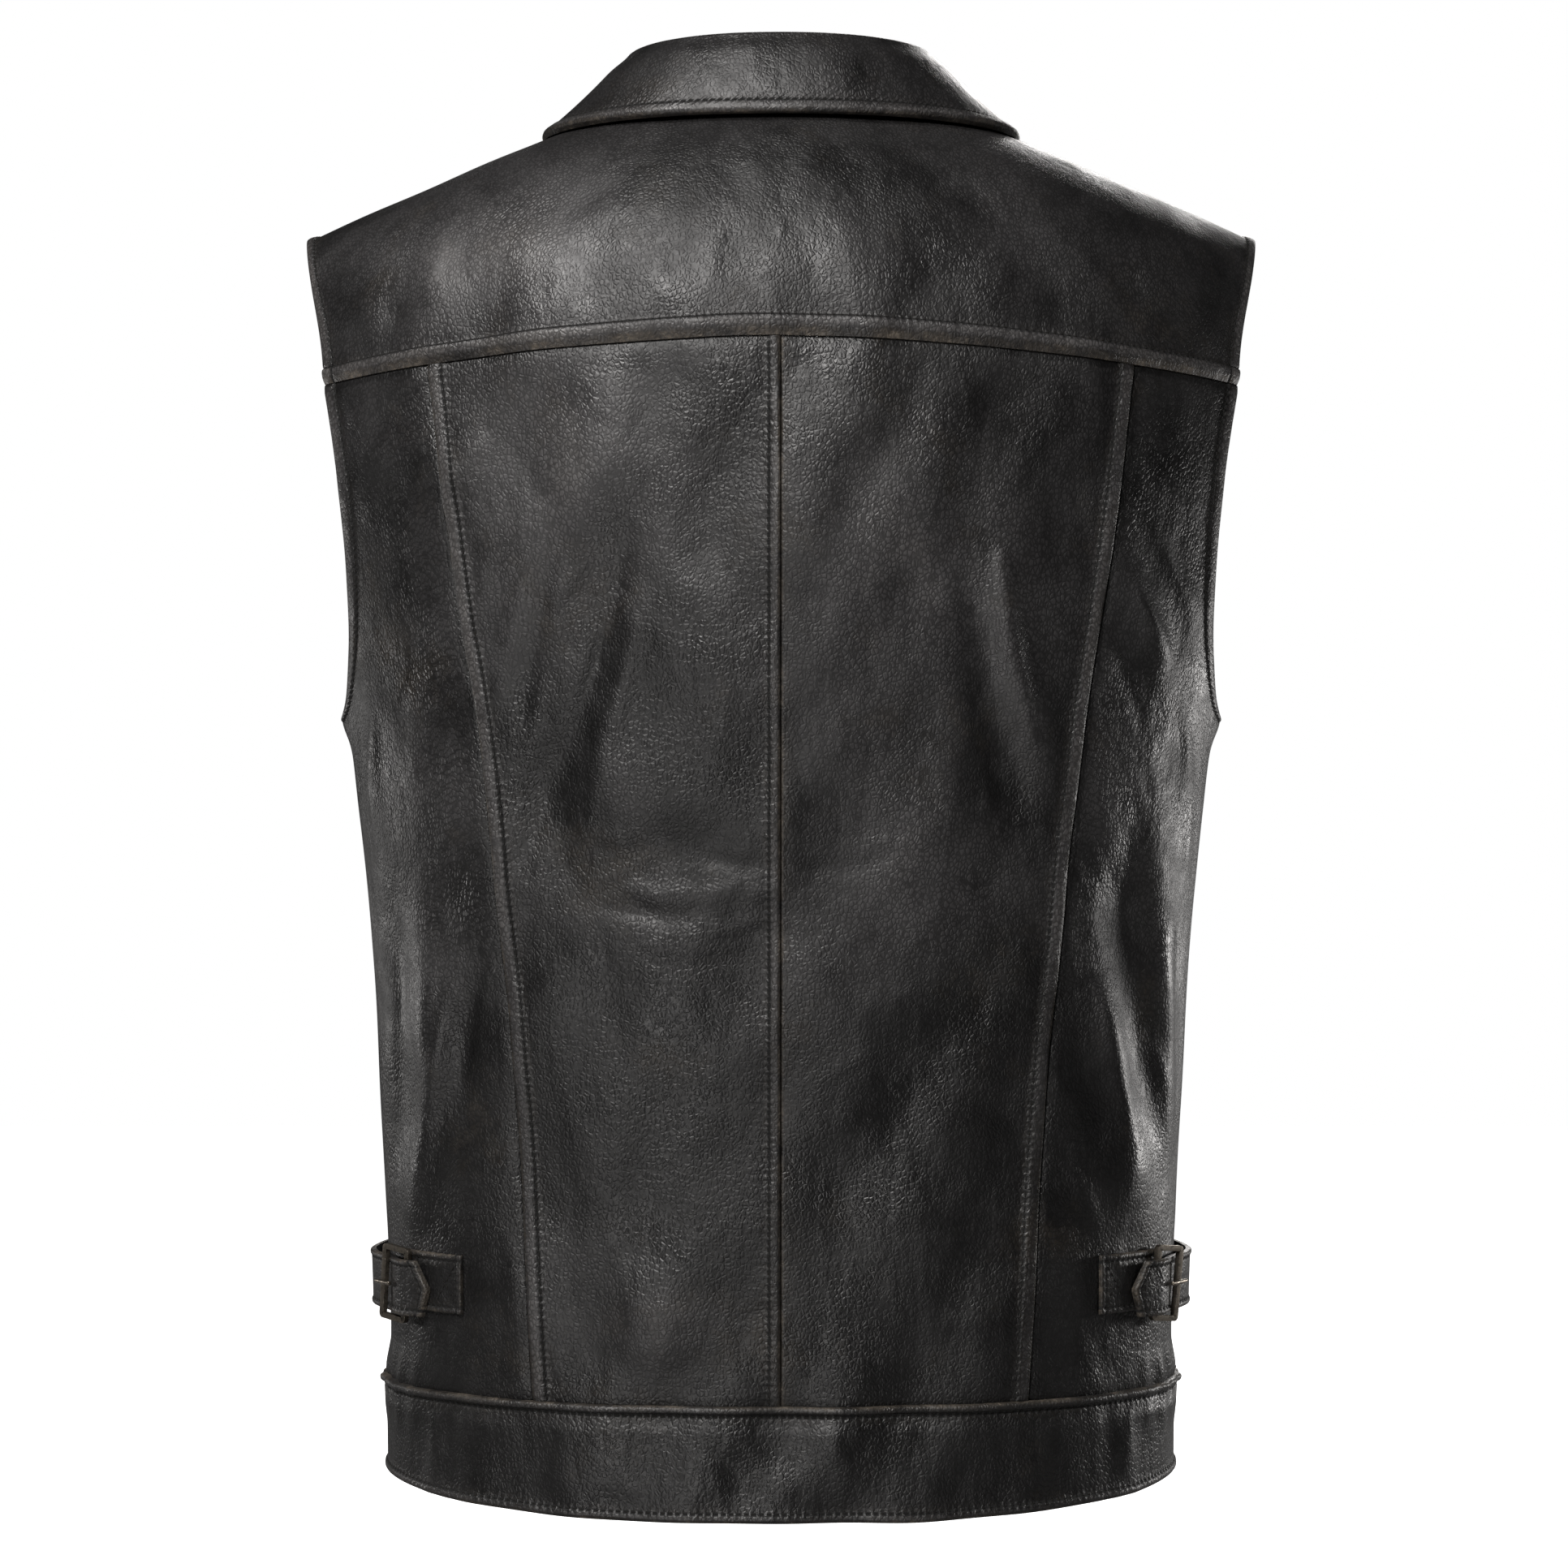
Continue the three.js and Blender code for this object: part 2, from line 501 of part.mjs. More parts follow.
function yoke() {
  const cornerX = 108; // on the seam, below the corner of the neck
  const seamShares = acrossShares(seamLength, 0, hemWidth, panelColumns).slice(1);
  const halfShares = [...spread(0, cornerX, 10), ...seamShares.map((u) => mix(cornerX, armhole.yokeX, u))];
  const shares = [...halfShares.slice(1).reverse().map((x) => -x), ...halfShares];
  const seamY = shoulderSeamY - half;
  const edgeAt = (side, v) => {
    const y = mix(-depthAt(armhole.yokeX, yokeZ(armhole.yokeX), "back"), seamY, v);
    const x = side * (v === 0 ? armhole.yokeX : v === 1 ? seamOutX : armholeX(y));
    return [x, v === 0 ? 0 : yokeTurn(x, y)];
  };
  const topAt = (x0) => {
    if (Math.abs(x0) <= cornerX) {
      const [x, y] = ringPoint(neck, (neckCornerTurn * x0) / cornerX);
      return [x, yokeTurn(x, Math.min(y, seamY))];
    }
    const x = Math.sign(x0) * mix(seamInX, seamOutX, (Math.abs(x0) - cornerX) / (armhole.yokeX - cornerX));
    return [x, yokeTurn(x, seamY)];
  };
  const pointAt = (x0, v) => {
    const u = (x0 / armhole.yokeX + 1) / 2;
    const [l, r, l1, r1] = [edgeAt(-1, v), edgeAt(1, v), edgeAt(-1, 1), edgeAt(1, 1)];
    const t = topAt(x0);
    return [0, 1].map((k) => mix(l[k], r[k], u) + v * (t[k] - mix(l1[k], r1[k], u)));
  };
  const columns = shares.map((x0) => {
    const samples = spread(0, 1, 12).map((v) => yokePoint(...pointAt(x0, v)));
    const length = samples.slice(1).reduce((sum, p, k) => sum + p.distanceTo(samples[k]), 0);
    const rows = acrossShares(length, lapWidth, 0, 9);
    const hem = Math.abs(x0) > mix(cornerX, armhole.yokeX, 1 - hemWidth / seamLength) - 0.1;
    return rows.map((v, j) => {
      const here = yokePlace(...pointAt(x0, v));
      if (j === 0) here.p.z += half;
      return { ...here, outer: j < 2 ? lapLift : hem ? hemLift : 0, inner: -leather };
    });
  });
  return wall(columns[0].map((_, j) => columns.map((c) => c[j])));
}

function waistband(from, to, count, lift = () => 0) {
  const heights = [
    { z: hemZ, rise: band.hemRise, curved: 1 },
    { z: hemZ + band.hemRow, rise: band.hemRise, curved: 1 },
    { z: hemZ + band.hemRow + lapRamp, rise: 0, curved: 1 },
    { z: bandTopZ - band.rollWidth - lapRamp, rise: 0, curved: 0 },
    { z: bandTopZ - band.rollWidth, rise: band.roll, curved: 0 },
    { z: bandTopZ - half, rise: band.roll, curved: 0 },
  ];
  const rows = heights.map(({ z, rise, curved }) =>
    spread(from(z), to(z), count).map((angle) => {
      const here = backPlace(angle, z + curved * hemCurve.sideRise * Math.sin(angle) ** hemCurve.power);
      const moved = band.lift + lift(here.p.x);
      return { ...here, outer: moved + rise, inner: moved - leather };
    }),
  );
  return wall(rows);
}

// Outward normals of a grid of points, by their neighbours.
function withNormals(points, outwardFrom) {
  const clampTo = (i, n) => clamp(i, 0, n - 1);
  return points.map((row, j) =>
    row.map((p, i) => {
      const du = row[clampTo(i + 1, row.length)].clone().sub(row[clampTo(i - 1, row.length)]);
      const above = points[clampTo(j + 1, points.length)][i];
      const dv = above.clone().sub(points[clampTo(j - 1, points.length)][i]);
      const n = du.cross(dv).normalize();
      if (n.dot(p.clone().sub(outwardFrom)) < 0) n.negate();
      return { p, n };
    }),
  );
}
const collarCentre = new THREE.Vector3(0, 0, -60);

// Moves a point outwards until it is clear of the form's own surface.
function clearOfForm(p, clearance) {
  for (let k = 0; k < 3; k++) {
    const on = p.y < 0 ? "back" : "front";
    const f = profile(p.x, on);
    const level = (y, z) => Math.abs(y / f.depth) ** f.top + Math.max(0, (z - f.footZ) / f.rise) ** f.foot - 1;
    const [gy, gz] = [level(p.y + 0.1, p.z) - level(p.y - 0.1, p.z), level(p.y, p.z + 0.1) - level(p.y, p.z - 0.1)];
    const slope = Math.hypot(gy, gz) / 0.2;
    const short = clearance - level(p.y, p.z) / slope;
    if (short > 0) p.add(new THREE.Vector3(0, gy, gz).setLength(short));
  }
  return p;
}

function foldPoint(turn) {
  const [x, y] = ringPoint(fold, turn);
  const drop = smooth((Math.abs(turn) - radians(collar.dropFrom)) / radians(collar.endTurn - collar.dropFrom));
  return new THREE.Vector3(x, y, mix(collar.foldZ, collar.frontZ, drop));
}
function leafEdgePoint(turn) {
  const past = Math.max(0, Math.abs(turn) - rightAngle);
  const slower = (radians(collar.edgeEndTurn) - rightAngle) / (radians(collar.endTurn) - rightAngle);
  const [x, y] = ringPoint(leafEdge, Math.sign(turn) * (Math.min(Math.abs(turn), rightAngle) + past * slower));
  const onForm = y > 0 ? shoulderPoint(x, upAtDepth(x, y, "front"), "front").z : collar.edgeZ;
  return new THREE.Vector3(x, y, mix(collar.edgeZ, onForm, smooth(past / radians(25))));
}
const collarTurns = spread(-radians(collar.endTurn), radians(collar.endTurn), 46);

function leafMiddle() {
  const clearance = leafThick / 2 + leafGap;
  const rows = [0, 0.22, 0.5, 0.78, 1].map((v) =>
    collarTurns.map((turn) => {
      const p = foldPoint(turn).lerp(leafEdgePoint(turn), v);
      const out = new THREE.Vector3(p.x, p.y, 40).normalize();
      const bulge = mix(leafBulge.side, leafBulge.back, Math.max(0, Math.cos(turn)) ** 2);
      p.addScaledVector(out, bulge * 4 * v * (1 - v));
      return v === 0 ? p : clearOfForm(p, clearance + (p.y > 0 && p.x < overlap + 3 ? overlapRise(p.x) : 0));
    }),
  );
  return withNormals(rows, collarCentre);
}

function collarLeaf() {
  const faces = { outer: leafThick / 2, inner: -leafThick / 2 };
  return wall(leafMiddle().map((row) => row.map((place) => ({ ...place, ...faces }))), true);
}

function collarStand() {
  const under = leafMiddle()[0];
  const reach = leafThick / 2 + layGap + standThick / 2;
  const tops = under.map(({ p, n }) => p.clone().addScaledVector(n, -reach));
  const feet = collarTurns.map((turn) => {
    const [x, y] = ringPoint(neck, turn);
    return yokePoint(x, yokeTurn(x, y));
  });
  feet.forEach((foot, i) => foot.addScaledVector(tops[i].clone().sub(foot).normalize(), standLift));
  const rows = [0, 0.5, 1].map((v) => feet.map((foot, i) => foot.clone().lerp(tops[i], v)));
  const faces = { outer: standThick / 2, inner: -standThick / 2 };
  return wall(withNormals(rows, collarCentre).map((row) => row.map((place) => ({ ...place, ...faces }))), true);
}

// A strip on the body near a side seam, between two distances from the seam, with the height of its
// inner face given along it.
function sideStrip(side, middle, alongs, height, thick, innerAt, endSlant = () => 0) {
  const rows = spread(-0.5, 0.5, 2).map((share) =>
    alongs.map((along) => {
      const z = middle + share * height;
      const here = backPlace(sideAngle(side, along + endSlant(along, share), tab.z), z);
      const inner = innerAt(along);
      return { ...here, inner, outer: inner + thick };
    }),
  );
  return wall(rows, true);
}

const strapOnPatch = layGap + tab.patchThick + seamGap;
const barReach = (buckle.length - buckle.wire) / 2;
const bars = { back: buckle.at + barReach, front: buckle.at - barReach };

// The strap lies on the front, passes under the buckle's front bar and over its back bar, and
// its free end lies on the patch.
function strapInner(along) {
  const stops = [
    { z: strapEnds.sewn, height: layGap },
    { z: strapEnds.sewn + 14, height: layGap },
    { z: 8, height: 5.4 },
    { z: 24, height: 5.4 },
    { z: bars.front, height: buckle.high - buckle.wire / 2 - buckle.clear - tab.strapThick },
    { z: bars.back, height: buckle.low + buckle.wire / 2 + buckle.clear },
    { z: strapEnds.tip, height: strapOnPatch },
  ];
  return column(stops, "height", along);
}

function strap(side) {
  const slant = (along, share) => (along > strapEnds.tip - 0.1 ? (share > 0 ? -7 : share < 0 ? -3.5 : 0) : 0);
  const alongs = spread(strapEnds.sewn, strapEnds.tip, 26);
  return sideStrip(side, tab.strapZ, alongs, tab.strapHeight, tab.strapThick, strapInner, slant);
}
const patch = (side) =>
  sideStrip(side, tab.z, spread(patchEnds.from, patchEnds.to, 8), tab.patchHeight, tab.patchThick, () => layGap);

// Seats the buckle's frame: its own X runs along the body to the back, its Y up and its Z outwards.
// It is tilted, so that its front bar is over the strap, and leans outwards at the top.
function seatBuckle(mesh, side) {
  const { p, n } = backPlace(sideAngle(side, buckle.at, tab.z), buckle.z);
  const up = new THREE.Vector3(0, 0, 1);
  const back = up.clone().cross(n).multiplyScalar(side > 0 ? -1 : 1).normalize();
  const tipped = back.clone().applyAxisAngle(up, -side * tiltOfBuckle);
  const out = n.clone().applyAxisAngle(up, -side * tiltOfBuckle);
  const lean = -side * radians(buckle.lean);
  const across = out.clone().cross(tipped);
  const [x, y] = [tipped.applyAxisAngle(out, side * lean), across.applyAxisAngle(out, side * lean)];
  mesh.quaternion.setFromRotationMatrix(new THREE.Matrix4().makeBasis(x, y, out));
  mesh.position.copy(p).addScaledVector(n, (buckle.low + buckle.high) / 2);
}

const tiltOfBuckle = Math.atan2(buckle.high - buckle.low, buckle.length - buckle.wire);

function buckleFrame() {
  const rectangle = (shape, width, height) => {
    shape.moveTo(-width / 2, -height / 2);
    shape.lineTo(width / 2, -height / 2);
    shape.lineTo(width / 2, height / 2);
    shape.lineTo(-width / 2, height / 2);
    shape.closePath();
    return shape;
  };
  const shape = rectangle(new THREE.Shape(), buckle.length, buckle.height);
  const inside = [buckle.length - 2 * buckle.wire, buckle.height - 2 * buckle.wire];
  shape.holes.push(rectangle(new THREE.Path(), ...inside));
  const geometry = new THREE.ExtrudeGeometry(shape, { depth: buckle.wire, bevelEnabled: false });
  return geometry.translate(0, 0, -buckle.wire / 2);
}

// The prong comes up through the strap and rests on the front bar.
function addProng(name, side) {
  const lift = prong.radius + prong.lift;
  const from = buckle.at + prong.from;
  const ends = [
    { along: from, height: strapInner(from) + tab.strapThick + lift },
    { along: bars.front - prong.past, height: buckle.high + buckle.wire / 2 + lift },
  ].map(({ along, height }) => {
    const { p, n } = backPlace(sideAngle(side, along, tab.z), buckle.z);
    return p.addScaledVector(n, height);
  });
  const shape = new THREE.CylinderGeometry(prong.radius, prong.radius, ends[0].distanceTo(ends[1]), 10);
  const mesh = add(name, shape, metalFinish());
  mesh.quaternion.setFromUnitVectors(new THREE.Vector3(0, 1, 0), ends[1].clone().sub(ends[0]).normalize());
  mesh.position.copy(ends[0]).lerp(ends[1], 0.5);
}

function snapCap() {
  const { radius, height } = snap;
  const outline = [
    [0, 0],
    [radius, 0],
    [radius, 0.3 * height],
    [0.84 * radius, 0.8 * height],
    [0.45 * radius, height],
    [0, height],
  ];
  return new THREE.LatheGeometry(outline.map(([x, y]) => new THREE.Vector2(x, y)), 16).rotateX(rightAngle);
}

const leatherFinish = () => new THREE.MeshStandardMaterial({ color: 0x2e2b29, roughness: 0.48, metalness: 0 });
const metalFinish = () => new THREE.MeshStandardMaterial({ color: 0x77736c, roughness: 0.35, metalness: 1 });

const vest = new THREE.Group();
function add(name, geometry, material = leatherFinish()) {
  const mesh = new THREE.Mesh(geometry, material);
  mesh.name = name;
  vest.add(mesh);
  return mesh;
}

add("back_yoke", yoke());
add("collar_stand", collarStand());
add("collar_leaf", collarLeaf());
const bandEdge = (side, towards) => (z) => seamAngle(side, z, towards);
const bandCentre = (side) => (z) => side * (Math.PI + Math.atan(overlap / column(sections, "front", z)));
add("band_back", waistband(bandEdge(-1, -1), bandEdge(1, -1), 34));
add("band_front_left", waistband(bandEdge(-1, 1), bandCentre(-1), 16, (x) => overlapRise(x, bandOverlap)));
add("band_front_right", waistband(bandEdge(1, 1), bandCentre(1), 16));
for (const [name, side] of [["left", -1], ["right", 1]]) {
  add(`back_centre_${name}`, backCentre(side));
  add(`back_side_${name}`, backSide(side));
  add(`front_${name}`, front(side));
  add(`tab_patch_${name}`, patch(side));
  add(`strap_${name}`, strap(side));
  seatBuckle(add(`buckle_${name}`, buckleFrame(), metalFinish()), side);
  addProng(`buckle_prong_${name}`, side);
}
const snapHeights = [...Array.from({ length: snap.count }, (_, k) => snap.firstZ - k * snap.step), snap.bandZ];
snapHeights.forEach((z, k) => {
  const height = z > chestZ ? frontHeight(upAtHeight(0, z, "front")) : z;
  const { p, n } = frontPlace(-Math.PI, height);
  const base = (z < bandTopZ ? band.lift + bandOverlap : overlapLift) + layGap;
  const mesh = add(`snap_${k + 1}`, snapCap(), metalFinish());
  mesh.quaternion.setFromUnitVectors(new THREE.Vector3(0, 0, 1), n);
  mesh.position.copy(p).addScaledVector(n, base);
});

export default vest;
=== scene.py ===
import math
import bpy
import numpy as np
from mathutils import Matrix, Vector


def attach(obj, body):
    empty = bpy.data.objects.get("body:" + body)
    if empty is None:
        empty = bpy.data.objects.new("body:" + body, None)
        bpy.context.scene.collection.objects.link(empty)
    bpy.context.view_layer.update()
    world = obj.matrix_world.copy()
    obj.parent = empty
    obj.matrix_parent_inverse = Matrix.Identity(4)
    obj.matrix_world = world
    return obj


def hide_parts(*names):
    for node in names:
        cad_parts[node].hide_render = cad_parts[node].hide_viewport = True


# A worn leather vest with side adjusters. The form is worked out in millimetres and made in metres.
# +X is the wearer's right, +Y the wearer's front, +Z up.
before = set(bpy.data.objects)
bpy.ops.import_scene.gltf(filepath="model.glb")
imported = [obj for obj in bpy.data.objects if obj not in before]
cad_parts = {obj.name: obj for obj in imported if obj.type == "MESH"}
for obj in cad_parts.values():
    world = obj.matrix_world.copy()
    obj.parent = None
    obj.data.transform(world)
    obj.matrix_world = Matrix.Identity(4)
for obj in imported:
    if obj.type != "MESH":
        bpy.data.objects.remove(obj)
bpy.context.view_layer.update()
bpy.ops.object.select_all(action="DESELECT")
mm = 0.001
rightAngle = math.pi / 2

leather = {"thick": 2.0, "standThick": 2.5, "leafThick": 3.0, "seamGap": 0.3, "layGap": 0.4, "mesh": 2.3}
halfGap = leather["seamGap"] / 2

heights = {
    "hem": -613.5, "bandTop": -563, "underarm": -253, "chest": -150,
    "yokeCentre": -83.5, "yokeDrop": 14.5, "yokePower": 1.6,
}
shoulder = {"neckX": 117, "neckZ": 20, "slope": 0.41, "crown": 1.05, "seamY": 24}
armhole = {"topX": 226, "yokeX": 212, "chestX": 192, "backDepth": 59, "backZ": -142, "power": 2.2}
armholeLean = {"back": 0.05, "front": 0.12}
underarmFlare = {"rise": 3.5, "height": 10, "reach": 34}
neckRing = {"halfWidth": 79, "back": 73, "front": 80, "power": 2.1}
foldRing = {"halfWidth": 72.6, "back": 70.5, "front": 83, "power": 2.25}
leafRing = {"halfWidth": 113.5, "back": 85, "front": 106, "power": 2.2}
opening = {"overlap": 15, "past": 3, "lift": 2.9, "fade": 26, "neckShare": 1.1, "bandLift": 3.7}
shoulderPowers = {"backTop": 2.25, "backFoot": 2.1, "frontTop": 2.0, "frontFoot": 1.4, "frontFootOut": 1.95}

# Sections of the worn body, hem first
sections = {
    "z": np.array([-613.5, -520, -430, -350, -295, -253, -220, -185, -142, -96, -60]),
    "halfWidth": np.array([185.5, 186, 190.5, 195, 201, 206, 213.5, 222.5, 229.5, 232, 232]),
    "back": np.array([119, 117, 115, 118, 122, 125, 128, 130, 131, 131, 130.0]),
    "front": np.array([119, 119, 118, 117, 119, 121, 122, 121, 117, 112, 108.0]),
    "power": np.array([2.22, 2.35, 2.3, 2.25, 2.2, 2.12, 2.05, 2, 2, 2, 2]),
}
sideBackSeam = {
    "z": np.array([-563, -481, -421, -362, -309, -257, -198, -134, -94.0]),
    "x": np.array([112, 116.5, 120.5, 126, 131.5, 137.5, 147, 155.5, 160.5]),
}


def spread(low, high, count):
    return np.linspace(low, high, count + 1)


def smooth(t):
    t = np.clip(t, 0, 1)
    return t * t * (3 - 2 * t)


def unit(v):
    return v / np.maximum(np.linalg.norm(v, axis=-1, keepdims=True), 1e-9)


def normalAt(pointAt, a, b, steps=(1e-3, 0.5)):
    stepA, stepB = steps
    across = pointAt(a + stepA, b) - pointAt(a - stepA, b)
    upwards = pointAt(a, b + stepB) - pointAt(a, b - stepB)
    return unit(np.cross(across, upwards))


def column(table, key, z):  # a smooth curve through one column of a table
    zs, values = table["z"], table[key]
    slopes = np.gradient(values, zs)
    slopes[1:-1] = (values[2:] - values[:-2]) / (zs[2:] - zs[:-2])
    z = np.clip(z, zs[0], zs[-1])
    i = np.clip(np.searchsorted(zs, z, side="right") - 1, 0, len(zs) - 2)
    step = zs[i + 1] - zs[i]
    t = (z - zs[i]) / step
    ends = (2 * t**3 - 3 * t**2 + 1) * values[i] + (3 * t**2 - 2 * t**3) * values[i + 1]
    return ends + step * ((t**3 - 2 * t**2 + t) * slopes[i] + (t**3 - t**2) * slopes[i + 1])


# Angle 0 is the centre back, a quarter turn the side seam and a half turn the centre front.
def bodyPoint(angle, z):
    angle, z = np.broadcast_arrays(np.asarray(angle, float), np.asarray(z, float))
    sin, cos = np.sin(angle), np.cos(angle)
    width = column(sections, "halfWidth", z)
    power = column(sections, "power", z)
    depth = np.where(cos > 0, column(sections, "back", z), column(sections, "front", z))
    r = (np.abs(sin / width) ** power + np.abs(cos / depth) ** power) ** (-1 / power)
    return np.stack([r * sin, -r * cos, z], axis=-1)


def depthAt(x, z, on):
    width = column(sections, "halfWidth", z)
    power = column(sections, "power", z)
    return column(sections, on, z) * np.maximum(0, 1 - np.abs(x / width) ** power) ** (1 / power)


def angleAt(x, z, on):
    return np.arctan2(x, depthAt(x, z, on) * (1 if on == "back" else -1))


def yokeZ(x):
    return heights["yokeCentre"] - heights["yokeDrop"] * np.abs(x / armhole["yokeX"]) ** heights["yokePower"]


def ridgeZ(x):  # the shoulder line, which rounds over where the neck comes through
    out = np.abs(x) - shoulder["neckX"]
    bend = shoulder["crown"] * shoulder["slope"] / (2 * shoulder["neckX"])
    inside = shoulder["neckZ"] + bend * (shoulder["neckX"] ** 2 - x**2)
    return np.where(out > 0, shoulder["neckZ"] - shoulder["slope"] * out, inside)


def profile(x, on):
    foot = yokeZ(x) if on == "back" else np.full_like(x, heights["chest"])
    footPower = shoulderPowers[on + "Foot"]
    if on == "front":
        out = np.minimum(1, (x / armhole["yokeX"]) ** 2)
        footPower = footPower + (shoulderPowers["frontFootOut"] - footPower) * out
    return foot, depthAt(x, foot, on), ridgeZ(x) - foot, shoulderPowers[on + "Top"], footPower


def shoulderPoint(x, up, on):
    x, up = np.broadcast_arrays(np.asarray(x, float), np.asarray(up, float))
    foot, depth, rise, topPower, footPower = profile(x, on)
    out = depth * np.maximum(0, np.cos(up)) ** (2 / topPower)
    z = foot + rise * np.maximum(0, np.sin(up)) ** (2 / footPower)
    return np.stack([x, -out if on == "back" else out, z], axis=-1)


def upAtDepth(x, y, on):
    x = np.asarray(x, float)
    foot, depth, rise, topPower, footPower = profile(x, on)
    return np.arccos(np.clip(np.abs(y) / np.maximum(depth, 1e-6), 0, 1) ** (topPower / 2))


def upAtHeight(x, z, on):
    x = np.asarray(x, float)
    foot, depth, rise, topPower, footPower = profile(x, on)
    return np.arcsin(np.clip((z - foot) / rise, 0, 1) ** (footPower / 2))


def formPoint(x, z, on):
    x, z = np.asarray(x, float), np.asarray(z, float)
    above = z > profile(x, on)[0]
    low = bodyPoint(angleAt(x, z, on), z)
    return np.where(above[..., None], shoulderPoint(x, upAtHeight(x, z, on), on), low)


upScale = 100  # on the front, height above the chest stands for the angle up the profile


def frontPoint(angle, height):
    angle, height = np.broadcast_arrays(np.asarray(angle, float), np.asarray(height, float))
    up = np.clip((height - heights["chest"]) / upScale, 0, rightAngle)
    x = bodyPoint(angle, heights["chest"])[..., 0]
    high = (height > heights["chest"])[..., None]
    return np.where(high, shoulderPoint(x, up, "front"), bodyPoint(angle, height))


def frontHeight(up):
    return heights["chest"] + up * upScale


def frontAngle(x, side):
    turn = np.arctan2(x, -depthAt(x, heights["chest"], "front"))
    return np.where(x * side < 0, side * 2 * math.pi, 0) + turn


def yokePoint(x, turn):  # 0 is the yoke's seam, 1 the top of the shoulder and more than 1 the front
    x, turn = np.broadcast_arrays(np.asarray(x, float), np.asarray(turn, float))
    back = shoulderPoint(x, np.clip(turn, 0, 1) * rightAngle, "back")
    ahead = shoulderPoint(x, np.clip(2 - turn, 0, 1) * rightAngle, "front")
    return np.where((turn <= 1)[..., None], back, ahead)


def yokeTurn(x, y):
    y = np.asarray(y, float)
    back = upAtDepth(x, np.minimum(y, 0), "back") / rightAngle
    return np.where(y <= 0, back, 2 - upAtDepth(x, np.maximum(y, 0), "front") / rightAngle)


def ringPoint(ring, turn):
    sin, cos = np.sin(turn), np.cos(turn)
    x = np.sign(sin) * ring["halfWidth"] * np.abs(sin) ** (2 / ring["power"])
    reach = np.where(cos > 0, ring["back"], ring["front"]) * np.abs(cos) ** (2 / ring["power"])
    return x, np.where(cos > 0, -reach, reach)


def armholeX(y, on):  # the armhole's edge over the shoulder
    footX = armhole["yokeX"] if on == "back" else armhole["chestX"]
    footZ = yokeZ(footX) if on == "back" else heights["chest"]
    depth = depthAt(footX, footZ, on)
    bend = (armhole["topX"] - footX - armholeLean[on] * depth) / depth**2
    return armhole["topX"] - armholeLean[on] * np.abs(y) - bend * y**2


def sideAngle(side, along, z):  # at a distance along the body from the side seam, towards the back
    angle = np.full_like(np.asarray(along, float), rightAngle)
    steps, nudge = 24, 1e-3
    for _ in range(steps):
        ahead = np.linalg.norm(bodyPoint(angle, z) - bodyPoint(angle - nudge, z), axis=-1) / nudge
        angle = angle - along / steps / ahead
    return side * angle


def flare(p):
    near = np.exp(-(((p[..., 2] - heights["underarm"]) / underarmFlare["height"]) ** 2))
    return underarmFlare["rise"] * near * np.clip(1 - np.abs(p[..., 1]) / underarmFlare["reach"], 0, 1)


def overlapRise(x, lift):
    start = opening["overlap"] + opening["past"] + opening["fade"]
    return lift * smooth((x + start) / opening["fade"])


